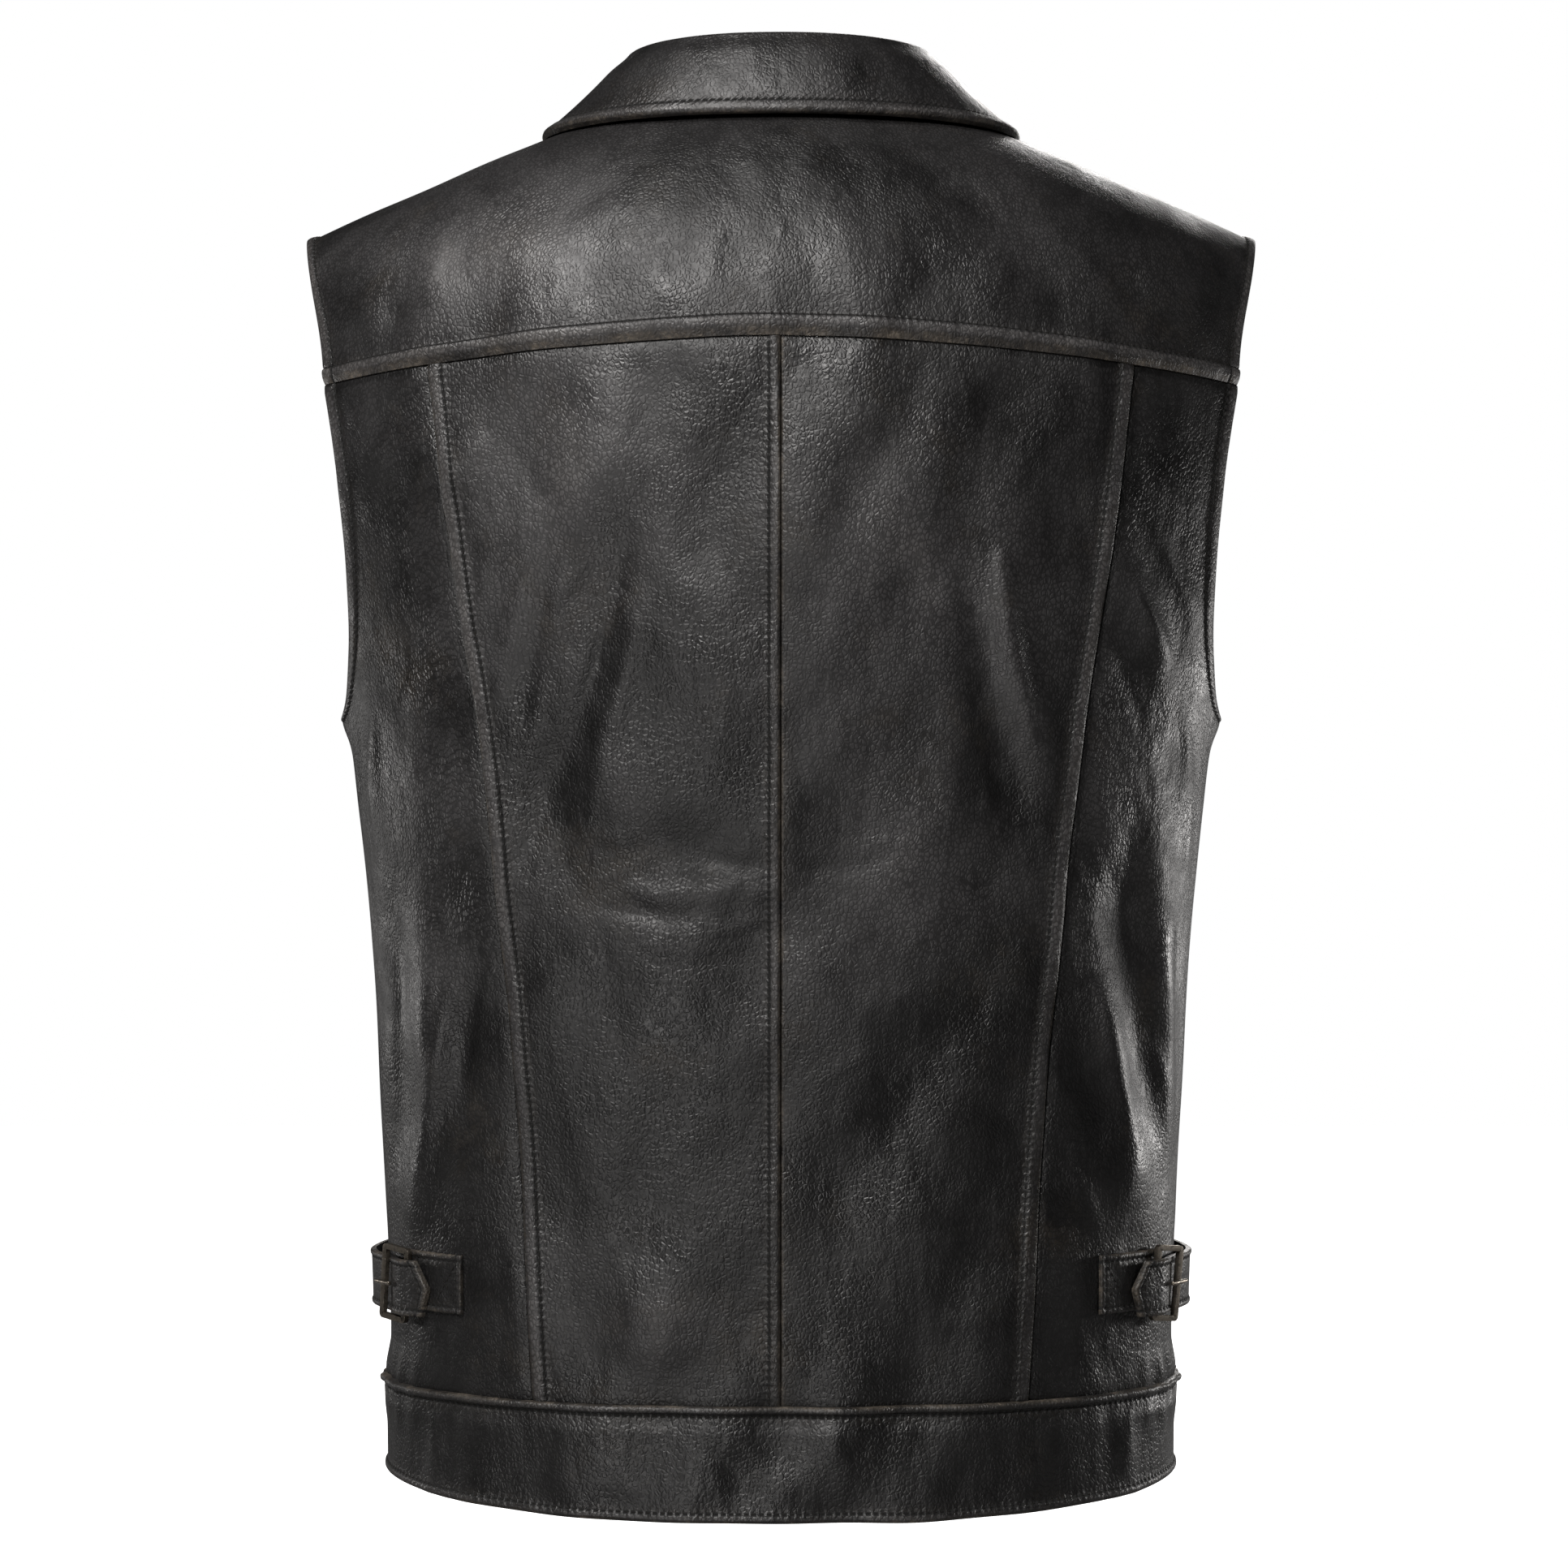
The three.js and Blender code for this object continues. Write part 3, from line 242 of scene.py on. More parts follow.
# Folds and creases: three points of distance from the centre and height, how wide and how high.
# The first rows are the large folds of the worn form, and the others are the finer creases.
foldNames = ("on", "x1", "z1", "x2", "z2", "x3", "z3", "width", "rise")
foldTable = [
    ("back", -163, -345, -160, -410, -168, -478, 9, 5),
    ("back", -180, -330, -177, -400, -181, -470, 8, -2.5),
    ("back", -98, -165, -112, -215, -118, -262, 13, -4.5),
    ("back", -66, -165, -92, -240, -112, -330, 15, -5),
    ("back", -74, -125, -100, -190, -126, -262, 14, 3),
    ("back", -98, -328, -50, -312, -8, -316, 12, -1.8),
    ("back", -84, -346, -45, -356, -4, -338, 13, 1.2),
    ("back", 96, -178, 105, -240, 122, -290, 8, 3.6),
    ("back", 86, -170, 92, -240, 108, -300, 11, -3.6),
    ("back", 40, -110, 26, -150, 14, -200, 16, 3),
    ("back", 156, -180, 168, -212, 180, -250, 9, 4),
    ("back", 140, -372, 154, -420, 160, -480, 11, 5.5),
    ("back", 172, -290, 176, -360, 181, -465, 9, 3.5),
    ("back", 162, -300, 160, -360, 172, -440, 10, -4),
    ("back", -172, -50, -176, -66, -182, -86, 9, -2.6),
    ("back", 150, -34, 158, -56, 172, -80, 11, -2.4),
    ("front", -120, -210, -140, -300, -150, -400, 14, 4),
    ("front", -60, -300, -80, -380, -92, -460, 15, -4),
    ("front", 118, -200, 132, -290, 150, -380, 14, 4),
    ("front", 62, -330, 84, -410, 96, -500, 15, -4),
    ("front", 160, -350, 168, -410, 170, -470, 10, 4),
    ("front", -160, -360, -166, -420, -170, -470, 10, 4),
    ("back", -147, -362, -155, -407, -167, -474, 3.4, 1.5),
    ("back", -136, -352, -142, -392, -150, -440, 5, -1.2),
    ("back", -103, -186, -113, -230, -119, -268, 4, -1.2),
    ("back", -112, -176, -122, -214, -130, -250, 4, 0.9),
    ("back", -68, -172, -84, -232, -98, -286, 5, -1.4),
    ("back", -60, -190, -72, -240, -86, -300, 4, 0.9),
    ("back", -98, -284, -106, -312, -110, -338, 4, 1.0),
    ("back", -36, -314, -20, -319, -5, -318, 3.2, -1.1),
    ("back", -70, -330, -44, -334, -16, -328, 4, 1.1),
    ("back", -88, -336, -60, -342, -30, -339, 3.4, -0.9),
    ("back", -66, -358, -40, -364, -12, -357, 4, -0.8),
    ("back", 6, -318, 26, -322, 48, -316, 4, -0.8),
    ("back", 98, -180, 105, -222, 116, -276, 3, 1.3),
    ("back", 92, -196, 99, -240, 110, -292, 4, -1.0),
    ("back", 118, -300, 124, -322, 128, -352, 4, 0.8),
    ("back", 158, -184, 166, -206, 180, -228, 3.6, 1.5),
    ("back", 168, -164, 180, -186, 190, -204, 3.6, 1.1),
    ("back", 150, -214, 160, -240, 168, -268, 4, -1.0),
    ("back", 142, -370, 150, -402, 158, -446, 4, 1.4),
    ("back", 128, -452, 140, -474, 146, -494, 4, 1.2),
    ("back", 172, -402, 176, -420, 178, -440, 3.4, 1.2),
    ("back", -188, -240, -190, -280, -188, -316, 4, 1.2),
    ("back", 186, -250, 190, -286, 188, -330, 4, 1.1),
    ("back", -150, -488, -154, -520, -150, -552, 5, -0.9),
    ("back", 150, -520, 146, -540, 150, -556, 5, -0.9),
    ("back", -80, -508, -54, -522, -24, -532, 13, 2.6),
    ("back", -86, -496, -60, -502, -36, -494, 8, 0.7),
    ("back", -78, -530, -56, -538, -30, -530, 7, 1.0),
    ("back", 36, -478, 58, -500, 84, -512, 9, -1.0),
    ("back", -20, -572, -8, -588, 6, -602, 5, 1.1),
    ("back", -38, -570, -26, -586, -14, -600, 5, -1.0),
    ("back", 18, -568, 26, -584, 30, -604, 5, 0.9),
    ("back", 96, -572, 100, -588, 98, -606, 5, -0.8),
    ("back", -96, -572, -100, -590, -97, -606, 5, 0.8),
    ("back", 160, -566, 158, -590, 161, -610, 4, 1.2),
    ("back", 148, -566, 150, -590, 147, -610, 4, -1.1),
    ("back", -160, -566, -158, -590, -161, -610, 4, 1.2),
    ("back", -148, -566, -150, -590, -147, -610, 4, -1.1),
    ("back", -60, 6, -92, -14, -118, -44, 14, -1.2),
    ("back", 56, 4, 90, -18, 120, -50, 15, -1.3),
    ("back", -150, -22, -158, -44, -160, -66, 7, 1.0),
    ("back", 20, -30, 40, -48, 62, -62, 16, 1.0),
    ("front", -134, -230, -142, -300, -150, -372, 4, 1.2),
    ("front", 132, -226, 140, -300, 150, -370, 4, 1.2),
    ("front", -96, -306, -70, -318, -44, -312, 5, -1.2),
    ("front", 96, -320, 70, -330, 44, -322, 5, -1.1),
    ("front", -150, -180, -162, -214, -172, -248, 5, 1.2),
    ("front", 150, -180, 162, -214, 172, -250, 5, 1.2),
    ("front", -110, -470, -90, -500, -64, -520, 7, 1.1),
    ("front", 108, -470, 92, -506, 66, -524, 7, 1.1),
]
gathers = {
    "count": 6, "first": -12, "pitch": 15, "width": 4.5, "rise": 2, "lower": 0.7,
    "top": -545, "bottom": -578, "slant": 3,
}
adjuster = {"z": -511.5, "clearHeight": 22, "clearFrom": 125}

foldLines = []
for values in foldTable:
    f = dict(zip(foldNames, values))
    t = spread(0, 1, 8)
    x, z = [(2 * t - 1) * (t - 1) * f[k + "1"] + 4 * t * (1 - t) * f[k + "2"] + t * (2 * t - 1) * f[k + "3"]
            for k in "xz"]
    foldLines.append({"width": f["width"], "rise": f["rise"], "line": formPoint(x, z, f["on"])})
for side in (-1, 1):
    for k in range(gathers["count"]):
        along = gathers["first"] + gathers["pitch"] * k
        ends = [bodyPoint(sideAngle(side, along - slant, z), z)
                for slant, z in ((0, gathers["top"]), (gathers["slant"], gathers["bottom"]))]
        rise = gathers["rise"] * (gathers["lower"] if k % 2 else 1)
        foldLines.append({"width": gathers["width"], "rise": rise, "line": np.array(ends)})

# Families of short uneven creases, each about a middle point: how far across and down they lie from it,
# their lean from level in degrees, how many there are and how high
familyNames = ("on", "x", "z", "spanX", "spanZ", "lean", "count", "rise")
creaseFamilies = [
    ("back", -48, -330, 40, 26, 6, 12, 0.55), ("back", 44, -338, 38, 28, -8, 8, 0.4),
    ("back", -86, -230, 26, 60, 72, 9, 0.5), ("back", 92, -230, 26, 66, -76, 9, 0.5),
    ("back", -158, -300, 16, 70, 78, 9, 0.5), ("back", 158, -300, 16, 90, -70, 12, 0.6),
    ("back", -150, -160, 14, 44, 64, 7, 0.4), ("back", 158, -150, 14, 44, -58, 7, 0.5),
    ("back", 0, -470, 90, 70, 14, 10, 0.35),
    ("front", -96, -340, 40, 60, 20, 10, 0.5), ("front", 96, -340, 40, 60, -20, 10, 0.5),
]
creaseSpread = {"lean": 12, "bow": 2.5, "reach": (9, 24), "share": (0.5, 1.2), "width": (2.4, 4.2)}
randomDraw = np.random.default_rng(11)
for values in creaseFamilies:
    family = dict(zip(familyNames, values))
    for k in range(family["count"]):
        away = randomDraw.uniform(-1, 1, 2)
        middleX, middleZ = family["x"] + family["spanX"] * away[0], family["z"] + family["spanZ"] * away[1]
        lean = math.radians(family["lean"] + randomDraw.normal(0, creaseSpread["lean"]))
        reach = randomDraw.uniform(*creaseSpread["reach"])
        bow = randomDraw.normal(0, creaseSpread["bow"])
        t = spread(-1, 1, 6)
        x = middleX + reach * t * math.cos(lean) - bow * (1 - t**2) * math.sin(lean)
        z = middleZ + reach * t * math.sin(lean) + bow * (1 - t**2) * math.cos(lean)
        rise = family["rise"] * randomDraw.uniform(*creaseSpread["share"]) * (1 if k % 2 else -1)
        line = formPoint(x, z, family["on"])
        foldLines.append({"width": randomDraw.uniform(*creaseSpread["width"]), "rise": rise, "line": line})

# Broad, shallow waves that break up the shine: how long across and down, and how high
waves = {"count": 16, "across": (46, 110), "down": (70, 190), "rise": 0.24}
waveRows = []
for k in range(waves["count"]):
    across = 2 * math.pi / randomDraw.uniform(*waves["across"])
    down = 2 * math.pi / randomDraw.uniform(*waves["down"]) * randomDraw.choice([-1, 1])
    waveRows.append((across, down, randomDraw.uniform(0, 2 * math.pi)))


# Where the leather lies smooth: by the adjusters, the snaps and the collar, and more calmly at the sides
calmPlaces = {
    "snaps": 26, "collarX": 125, "collarY": 112, "collarFrom": -40,
    "sideFrom": 140, "sideFade": 45, "topFrom": -70, "topFade": 50, "calm": 0.85,
}
foldShape = {"reach": 2.6, "least": 0.2, "most": 0.8, "power": 0.8, "ripple": 0.18}


def smoothPatch(p):
    x, y, z = p[..., 0], p[..., 1], p[..., 2]
    tabs = np.where(np.abs(x) > adjuster["clearFrom"], 1, 0)
    tabs = tabs * np.exp(-(((z - adjuster["z"]) / adjuster["clearHeight"]) ** 6))
    snaps = np.where(y > 0, np.exp(-((x / calmPlaces["snaps"]) ** 4)), 0)
    collar = np.exp(-((np.hypot(x / calmPlaces["collarX"], y / calmPlaces["collarY"])) ** 8))
    return tabs, np.maximum(snaps, collar * np.where(z > calmPlaces["collarFrom"], 1, 0))


def foldRise(p):
    flat = p.reshape(-1, 3)
    total = np.zeros(len(flat))
    for f in foldLines:
        line, reach = f["line"], foldShape["reach"] * f["width"]
        near = np.all((flat > line.min(0) - reach) & (flat < line.max(0) + reach), axis=1)
        if not near.any():
            continue
        q = flat[near]
        best = np.full(len(q), np.inf)
        share = np.zeros(len(q))
        for k, (a, b) in enumerate(zip(line[:-1], line[1:])):
            along = b - a
            t = np.clip((q - a) @ along / (along @ along), 0, 1)
            apart = np.linalg.norm(q - a - t[:, None] * along, axis=1)
            share = np.where(apart < best, (k + t) / (len(line) - 1), share)
            best = np.minimum(best, apart)
        uneven = foldShape["least"] + foldShape["most"] * np.sin(math.pi * share) ** foldShape["power"]
        uneven = uneven + foldShape["ripple"] * np.sin(9 * share + 40 * f["rise"])
        width = f["width"] * (1.12 + 0.2 * np.sin(7 * share + 23 * f["width"]))
        total[near] += f["rise"] * uneven * np.exp(-((best / width) ** 2))
    total = total.reshape(p.shape[:-1])
    drape = np.zeros_like(total)
    for across, down, phase in waveRows:
        phase = phase * np.where(p[..., 1] < 0, 1, 2)
        drape += waves["rise"] * np.sin(across * p[..., 0] + down * p[..., 2] + phase)
    tabs, others = smoothPatch(p)
    calm = np.maximum(smooth((np.abs(p[..., 0]) - calmPlaces["sideFrom"]) / calmPlaces["sideFade"]),
                      smooth((p[..., 2] - calmPlaces["topFrom"]) / calmPlaces["topFade"]))
    return (total + drape * (1 - np.maximum(others, calmPlaces["calm"] * calm))) * (1 - tabs)


# Turned edges: how far in the stitches are, how high the strip stands, how round its edge is, and how
# much its dye is rubbed off
edgeKinds = {
    "lap": {"row": 7.0, "lift": 1.0, "round": 1.1, "wear": 0.9},
    "centre": {"row": 5.2, "lift": 0.8, "round": 1.0, "wear": 0.9},
    "hem": {"row": 8.0, "lift": 0.8, "round": 1.0, "wear": 0.8},
    "opening": {"row": 6.5, "lift": 0.5, "round": 1.0, "wear": 0.7},
    "bandHem": {"row": 4.2, "lift": 0.8, "round": 1.2, "wear": 1.0},
    "bandRoll": {"row": 4.6, "lift": 0.0, "round": 0.0, "wear": 1.0, "roll": 1.7, "rollWidth": 3.6},
    "leaf": {"row": 5.8, "lift": 0.5, "round": 1.5, "wear": 0.9},
    "strap": {"row": 3.0, "lift": 0.3, "round": 0.7, "wear": 1.0},
    # shade: how much painted shade lies beside an edge that runs under its neighbour's lap
    "plain": {"row": 0, "lift": 0.0, "round": 0.9, "wear": 0.0, "drawn": 0.7, "shade": 1.0},
    "seam": {"row": 0, "lift": 0.0, "round": 0.8, "wear": 0.7, "drawn": 0.1, "shade": 0.1},
    "none": {"row": 0, "lift": 0.0, "round": 0.0, "wear": 0.0},
    "fold": {"row": 0, "lift": 0.0, "round": 0.0, "wear": 0.3, "lines": (6, 12)},
}
stitch = {
    "pitch": 3.4, "length": 2.5, "thick": 0.65, "sunk": -0.02, "endGap": 2.0,
    "groove": 0.4, "grooveWidth": 0.75,
}
# The strip beside a row: where it falls away, and how round it stands between the edge and the row
stripForm = {"inside": 0.5, "fall": 2.3, "round": 0.6, "drawnWidth": 2.4}


def edgeRise(d, kind):
    rise = np.zeros_like(d)
    strip = np.zeros_like(d)
    if kind["round"]:
        t = np.clip(d / kind["round"], 0, 1)
        rise = rise - kind["round"] * (1 - np.sqrt(np.clip(1 - (1 - t) ** 2, 0, 1)))
    rise = rise - kind.get("drawn", 0) * np.exp(-((d / stripForm["drawnWidth"]) ** 2))
    if kind.get("roll"):
        half = kind["rollWidth"] / 2
        rise = rise + kind["roll"] * np.sqrt(np.clip(1 - ((d - half) / half) ** 2, 0, 1))
    if kind["row"]:
        strip = kind["lift"] * (1 - smooth((d - kind["row"] + stripForm["inside"]) / stripForm["fall"]))
        bulge = stripForm["round"] * np.sqrt(kind["lift"])
        strip = strip + bulge * np.sin(math.pi * np.clip(d / kind["row"], 0, 1))
        rise = rise - stitch["groove"] * np.exp(-(((d - kind["row"]) / stitch["grooveWidth"]) ** 2))
    return rise, strip


def stopsFor(kind):  # where the mesh has lines beside an edge
    stops = [0]
    if kind["round"]:
        stops += [0.08, 0.25, 0.55, kind["round"], kind["round"] + 0.8]
    if kind.get("roll"):
        stops += [0.12, 0.4, 0.9, 1.7, 2.5, 3.0, 3.3]
    if kind.get("lines"):
        stops += list(spread(0, *kind["lines"])[1:])
    if kind["row"]:
        row = kind["row"]
        start = stops[-1]
        count = max(1, int((row - 1 - start) / 1.3))
        stops += list(spread(start, row - 1.0, count)[1:])
        stops += [row - 0.5, row, row + 0.5, row + 1.1, row + 2.0, row + 3.2]
    return np.array(stops, float)


def shares(width, first, last, step):  # lines across a width, finer beside both edges
    width = np.asarray(width, float)
    count = max(2, math.ceil((width.max() - first[-1] - last[-1]) / step))
    t = spread(0, 1, count)[1:-1]
    between = first[-1] + t * (width[:, None] - first[-1] - last[-1])
    low = np.tile(first, (len(width), 1))
    high = width[:, None] - last[::-1]
    return np.concatenate([low, between, high], axis=1) / width[:, None]


def lookUp(table, u, v):  # between the points of an even table, its rows by v and columns by u
    rows, columns = table.shape[0] - 1, table.shape[1] - 1
    x, y = np.clip(u, 0, 1) * columns, np.clip(v, 0, 1) * rows
    i, j = np.minimum(x.astype(int), columns - 1), np.minimum(y.astype(int), rows - 1)
    x, y = x - i, y - j
    low = table[j, i] * (1 - x) + table[j, i + 1] * x
    return low * (1 - y) + (table[j + 1, i] * (1 - x) + table[j + 1, i + 1] * x) * y


def evened(coordinates, pointAt):  # equal shares then cover equal lengths, across and then upwards
    us, vs = spread(0, 1, 120), spread(0, 1, 160)
    gridU, gridV = np.meshgrid(us, vs)
    points = pointAt(*coordinates(gridU, gridV))
    run = np.cumsum(np.linalg.norm(np.diff(points, axis=1), axis=-1), axis=1)
    run = np.concatenate([0 * run[:, :1], run], axis=1) / run[:, -1:]
    tableU = np.array([np.interp(us, row, us) for row in run])

    def across(u, v):
        return coordinates(lookUp(tableU, u, v), v)
    points = pointAt(*across(gridU, gridV))
    run = np.cumsum(np.linalg.norm(np.diff(points, axis=0), axis=-1), axis=0)
    run = np.concatenate([0 * run[:1], run]) / run[-1:]
    tableV = np.array([np.interp(vs, row, vs) for row in run.T]).T
    return lambda u, v: across(u, lookUp(tableV, u, v))


sheetGrid = {"across": 40, "up": 60}  # how finely a sheet is measured


# A sheet is a dictionary: pointAt gives the form at two coordinates, and coordinates gives those
# for two shares from 0 to 1. Edges name how each side is turned, and a side that isn't named is plain.
def newSheet(pointAt, coordinates, edges, **changes):
    sheet = {
        "pointAt": pointAt, "coordinates": evened(coordinates, pointAt), "edges": edges,
        "kinds": {way: edgeKinds[edges.get(way, "plain")] for way in ("left", "right", "bottom", "top")},
        "thick": leather["thick"], "mesh": leather["mesh"], "lining": suede, "steps": (1e-3, 0.5),
        "outward": 1, "inside": lambda a, b: (a, b), "lift": lambda p, a, b: 0,
        "turnedFrom": {}, "rowEnd": {}, "still": False, "middle": False, **changes,
    }
    u, v = np.meshgrid(spread(0, 1, sheetGrid["across"]), spread(0, 1, sheetGrid["up"]))
    points = pointAt(*sheet["coordinates"](u, v))
    sheet["widths"] = np.linalg.norm(np.diff(points, axis=1), axis=-1).sum(1)
    sheet["lengths"] = np.linalg.norm(np.diff(points, axis=0), axis=-1).sum(0)
    return sheet


def widthAt(sheet, v):
    return np.interp(v, spread(0, 1, sheetGrid["up"]), sheet["widths"])


def lengthAt(sheet, u):
    return np.interp(u, spread(0, 1, sheetGrid["across"]), sheet["lengths"])


# Painted light and shade on the back, lighter where the light falls and a sheen lies and darker where it
# falls away, most of all low down: distance from the centre, height, half sizes across and down, and how much
paintedLightSpots = [
    (-130, -42, 62, 34, 0.9), (0, -45, 110, 40, 0.22), (130, -44, 60, 46, 0.1), (52, -190, 42, 66, 0.8),
    (44, -330, 38, 60, 0.6), (-112, -170, 24, 60, 0.35), (-60, -165, 40, 50, 0.25), (-46, -522, 42, 24, 0.5),
    (80, -450, 60, 80, -0.55), (-60, -410, 60, 60, -0.1), (188, -180, 34, 80, -0.6),
    (-190, -190, 30, 80, -0.35), (-168, -350, 18, 90, 0.3), (166, -340, 20, 110, 0.3),
    (0, -596, 150, 26, -0.8), (60, -520, 90, 50, -0.75), (0, -440, 150, 60, -0.2), (-96, -120, 40, 34, 0.8),
]
frontPaintedLight = {"from": 10, "share": 0.7}  # the front has the same spots, less strongly


# Painted light and shade from these spots, weaker on the front
def paintedLightAt(p):
    total = 0 * p[..., 0]
    for x, z, halfX, halfZ, much in paintedLightSpots:
        near = ((p[..., 0] - x) / halfX) ** 2 + ((p[..., 2] - z) / halfZ) ** 2
        total = total + much * np.exp(-near) * np.where(p[..., 1] < frontPaintedLight["from"], 1, frontPaintedLight["share"])
    return total


# Rubbing beside an edge, and painted shade and painted highlights beside it, by distance from it, in the
# order in which they are used
edgeWear = {
    "line": 1.0, "glow": 0.08, "glowAt": 2.5, "glowWidth": 3, "unturned": 0.3,
    "beside": 0.12, "besideWidth": 2.6, "besideFrom": 0.8,
}
edgeLightAndShade = {
    "shade": 1.2, "shadeWidth": 1.8, "roll": 0.5, "rollWidth": 1.3,
    "strip": 0.9, "stripFrom": 0.8, "stripRise": 1.2, "stripEnd": 2, "stripFall": 1.5,
}
farRow = 60.0  # stands for no row nearby
turnShare = 0.02  # the share of a side over which a plain edge becomes a turned one


def surfaceAt(sheet, u, v):
    a, b = sheet["coordinates"](u, v)
    p = sheet["pointAt"](a, b)
    normal = normalAt(sheet["pointAt"], *sheet["inside"](a, b), sheet["steps"]) * sheet["outward"]
    width, length = widthAt(sheet, v), lengthAt(sheet, u)
    ways = {
        "left": (u * width, v * length), "right": ((1 - u) * width, v * length),
        "bottom": (v * length, u * width), "top": ((1 - v) * length, u * width),
    }
    rise, strip, wear, rowAlong = [np.zeros_like(u) for _ in range(4)]
    nearest, second = np.full(u.shape, 1e3), np.full(u.shape, 1e3)
    rowAway = np.full(u.shape, farRow)
    paleAndLit = paintedLightAt(p)
    for way, (away, along) in ways.items():
        kind = sheet["kinds"][way]
        hold = np.ones_like(u)
        edge, lifted = edgeRise(away, kind)
        if way in sheet["turnedFrom"]:
            hold = smooth((v - sheet["turnedFrom"][way]) / turnShare)
            edge = hold * edge + (1 - hold) * edgeRise(away, edgeKinds["plain"])[0]
        rise = rise + edge
        strip = np.maximum(strip, lifted * hold)
        glow = edgeWear["glow"] * np.exp(-((away - edgeWear["glowAt"]) / edgeWear["glowWidth"]) ** 2)
        worn = kind["wear"] * (np.exp(-((away / edgeWear["line"]) ** 2)) + glow)
        wear = np.maximum(wear, worn * np.maximum(hold, edgeWear["unturned"]))
        # Painted shade beside an edge that runs under a lap, a painted highlight along the band's roll, and
        # one on the raised strip before a row
        shade = edgeLightAndShade["shade"] * kind.get("shade", 0)
        paleAndLit = paleAndLit - shade * np.exp(-((away / edgeLightAndShade["shadeWidth"]) ** 2))
        if kind.get("roll"):
            fromRoll = (away - kind["rollWidth"] / 2) / edgeLightAndShade["rollWidth"]
            paleAndLit = paleAndLit + edgeLightAndShade["roll"] * np.exp(-(fromRoll ** 2))
        elif kind["row"]:
            begins = smooth((away - edgeLightAndShade["stripFrom"]) / edgeLightAndShade["stripRise"])
            ends = 1 - smooth((away - kind["row"] + edgeLightAndShade["stripEnd"]) / edgeLightAndShade["stripFall"])
            paleAndLit = paleAndLit + edgeLightAndShade["strip"] * hold * begins * ends
        if kind["row"]:
            fromRow = np.where(hold > 0.5, away - kind["row"], 1e3)
            closer = np.abs(fromRow) < np.abs(nearest)
            second = np.where(closer, nearest, np.where(np.abs(fromRow) < np.abs(second), fromRow, second))
            rowAlong = np.where(closer, along, rowAlong)
            rowAway = np.where(closer, fromRow, rowAway)
            nearest = np.where(closer, fromRow, nearest)
            beside = np.exp(-((fromRow / edgeWear["besideWidth"]) ** 2))
            beside = beside * (1 - np.exp(-((fromRow / edgeWear["besideFrom"]) ** 2)))
            wear = np.maximum(wear, edgeWear["beside"] * kind["wear"] * beside)
    # Puckers fade where two rows are as near as each other
    weight = 1 - np.exp(-(((np.abs(nearest) - np.abs(second)) / 3.5) ** 2))
    weight = np.where(np.abs(nearest) < 40, 1, 0) * weight
    folds = 0 if sheet["still"] else foldRise(p)
    lift = sheet["lift"](p, a, b)
    outer = lift + folds + rise + strip
    inner = lift + folds - sheet["thick"]
    if sheet["middle"]:
        outer, inner = outer + sheet["thick"] / 2, inner + sheet["thick"] / 2
    # The tone attribute holds the rubbing, the fold height and the painted light and shade
    return {
        "p": p, "n": normal, "outer": p + normal * outer[..., None],
        "inner": p + normal * np.broadcast_to(inner, u.shape)[..., None],
        "row": np.stack([rowAlong, np.clip(rowAway, -farRow, farRow), weight * 1000], axis=-1) * mm,
        "tone": np.stack([wear, np.clip(folds / 3 + 0 * u, -1, 1), paleAndLit], axis=-1),
    }


def newPiece(name, verts, faces):
    mesh = bpy.data.meshes.new(name)
    mesh.from_pydata(verts, [], faces)
    mesh.polygons.foreach_set("use_smooth", np.ones(len(faces), bool))
    piece = bpy.data.objects.new(name, mesh)
    bpy.context.scene.collection.objects.link(piece)
    return piece


def closedSheet(name, outer, inner, attributes):  # outer and inner faces of one wall, with its rim
    rows, columns = outer.shape[:2]
    count = rows * columns
    verts = np.concatenate([outer.reshape(-1, 3), inner.reshape(-1, 3)]) * mm
    i, j = np.meshgrid(np.arange(columns - 1), np.arange(rows - 1))
    a = (j * columns + i).ravel()
    face = np.stack([a, a + 1, a + 1 + columns, a + columns], axis=1)
    back = face[:, ::-1] + count
    bottom = np.arange(columns - 1)
    left = np.arange(rows - 1) * columns
    last = (rows - 1) * columns
    right = left + columns - 1
    rim = np.concatenate([np.stack([a, b, b + count, a + count], axis=1) for a, b in (
        (bottom + 1, bottom), (last + bottom, last + bottom + 1),
        (left, left + columns), (right + columns, right))])
    faces = np.concatenate([face, back, rim])
    middle = (rows // 2) * columns + columns // 2
    va, vb, vc = verts[middle], verts[middle + 1], verts[middle + columns]
    if np.cross(vb - va, vc - va) @ (va - verts[middle + count]) < 0:
        faces = faces[:, ::-1]
    piece = newPiece(name, verts.tolist(), faces.tolist())
    mesh = piece.data
    mesh.polygons.foreach_set("material_index", np.repeat([0, 1, 0], [len(face), len(back), len(rim)]))
    for key, values in attributes.items():
        attribute = mesh.attributes.new(key, "FLOAT_VECTOR", "POINT")
        both = np.concatenate([values.reshape(-1, 3)] * 2).astype(np.float32)
        attribute.data.foreach_set("vector", both.ravel())
    mesh.update()
    bpy.context.view_layer.objects.active = piece
    piece.select_set(True)
    bpy.ops.object.shade_smooth_by_angle(angle=math.radians(48))
    piece.select_set(False)
    return piece


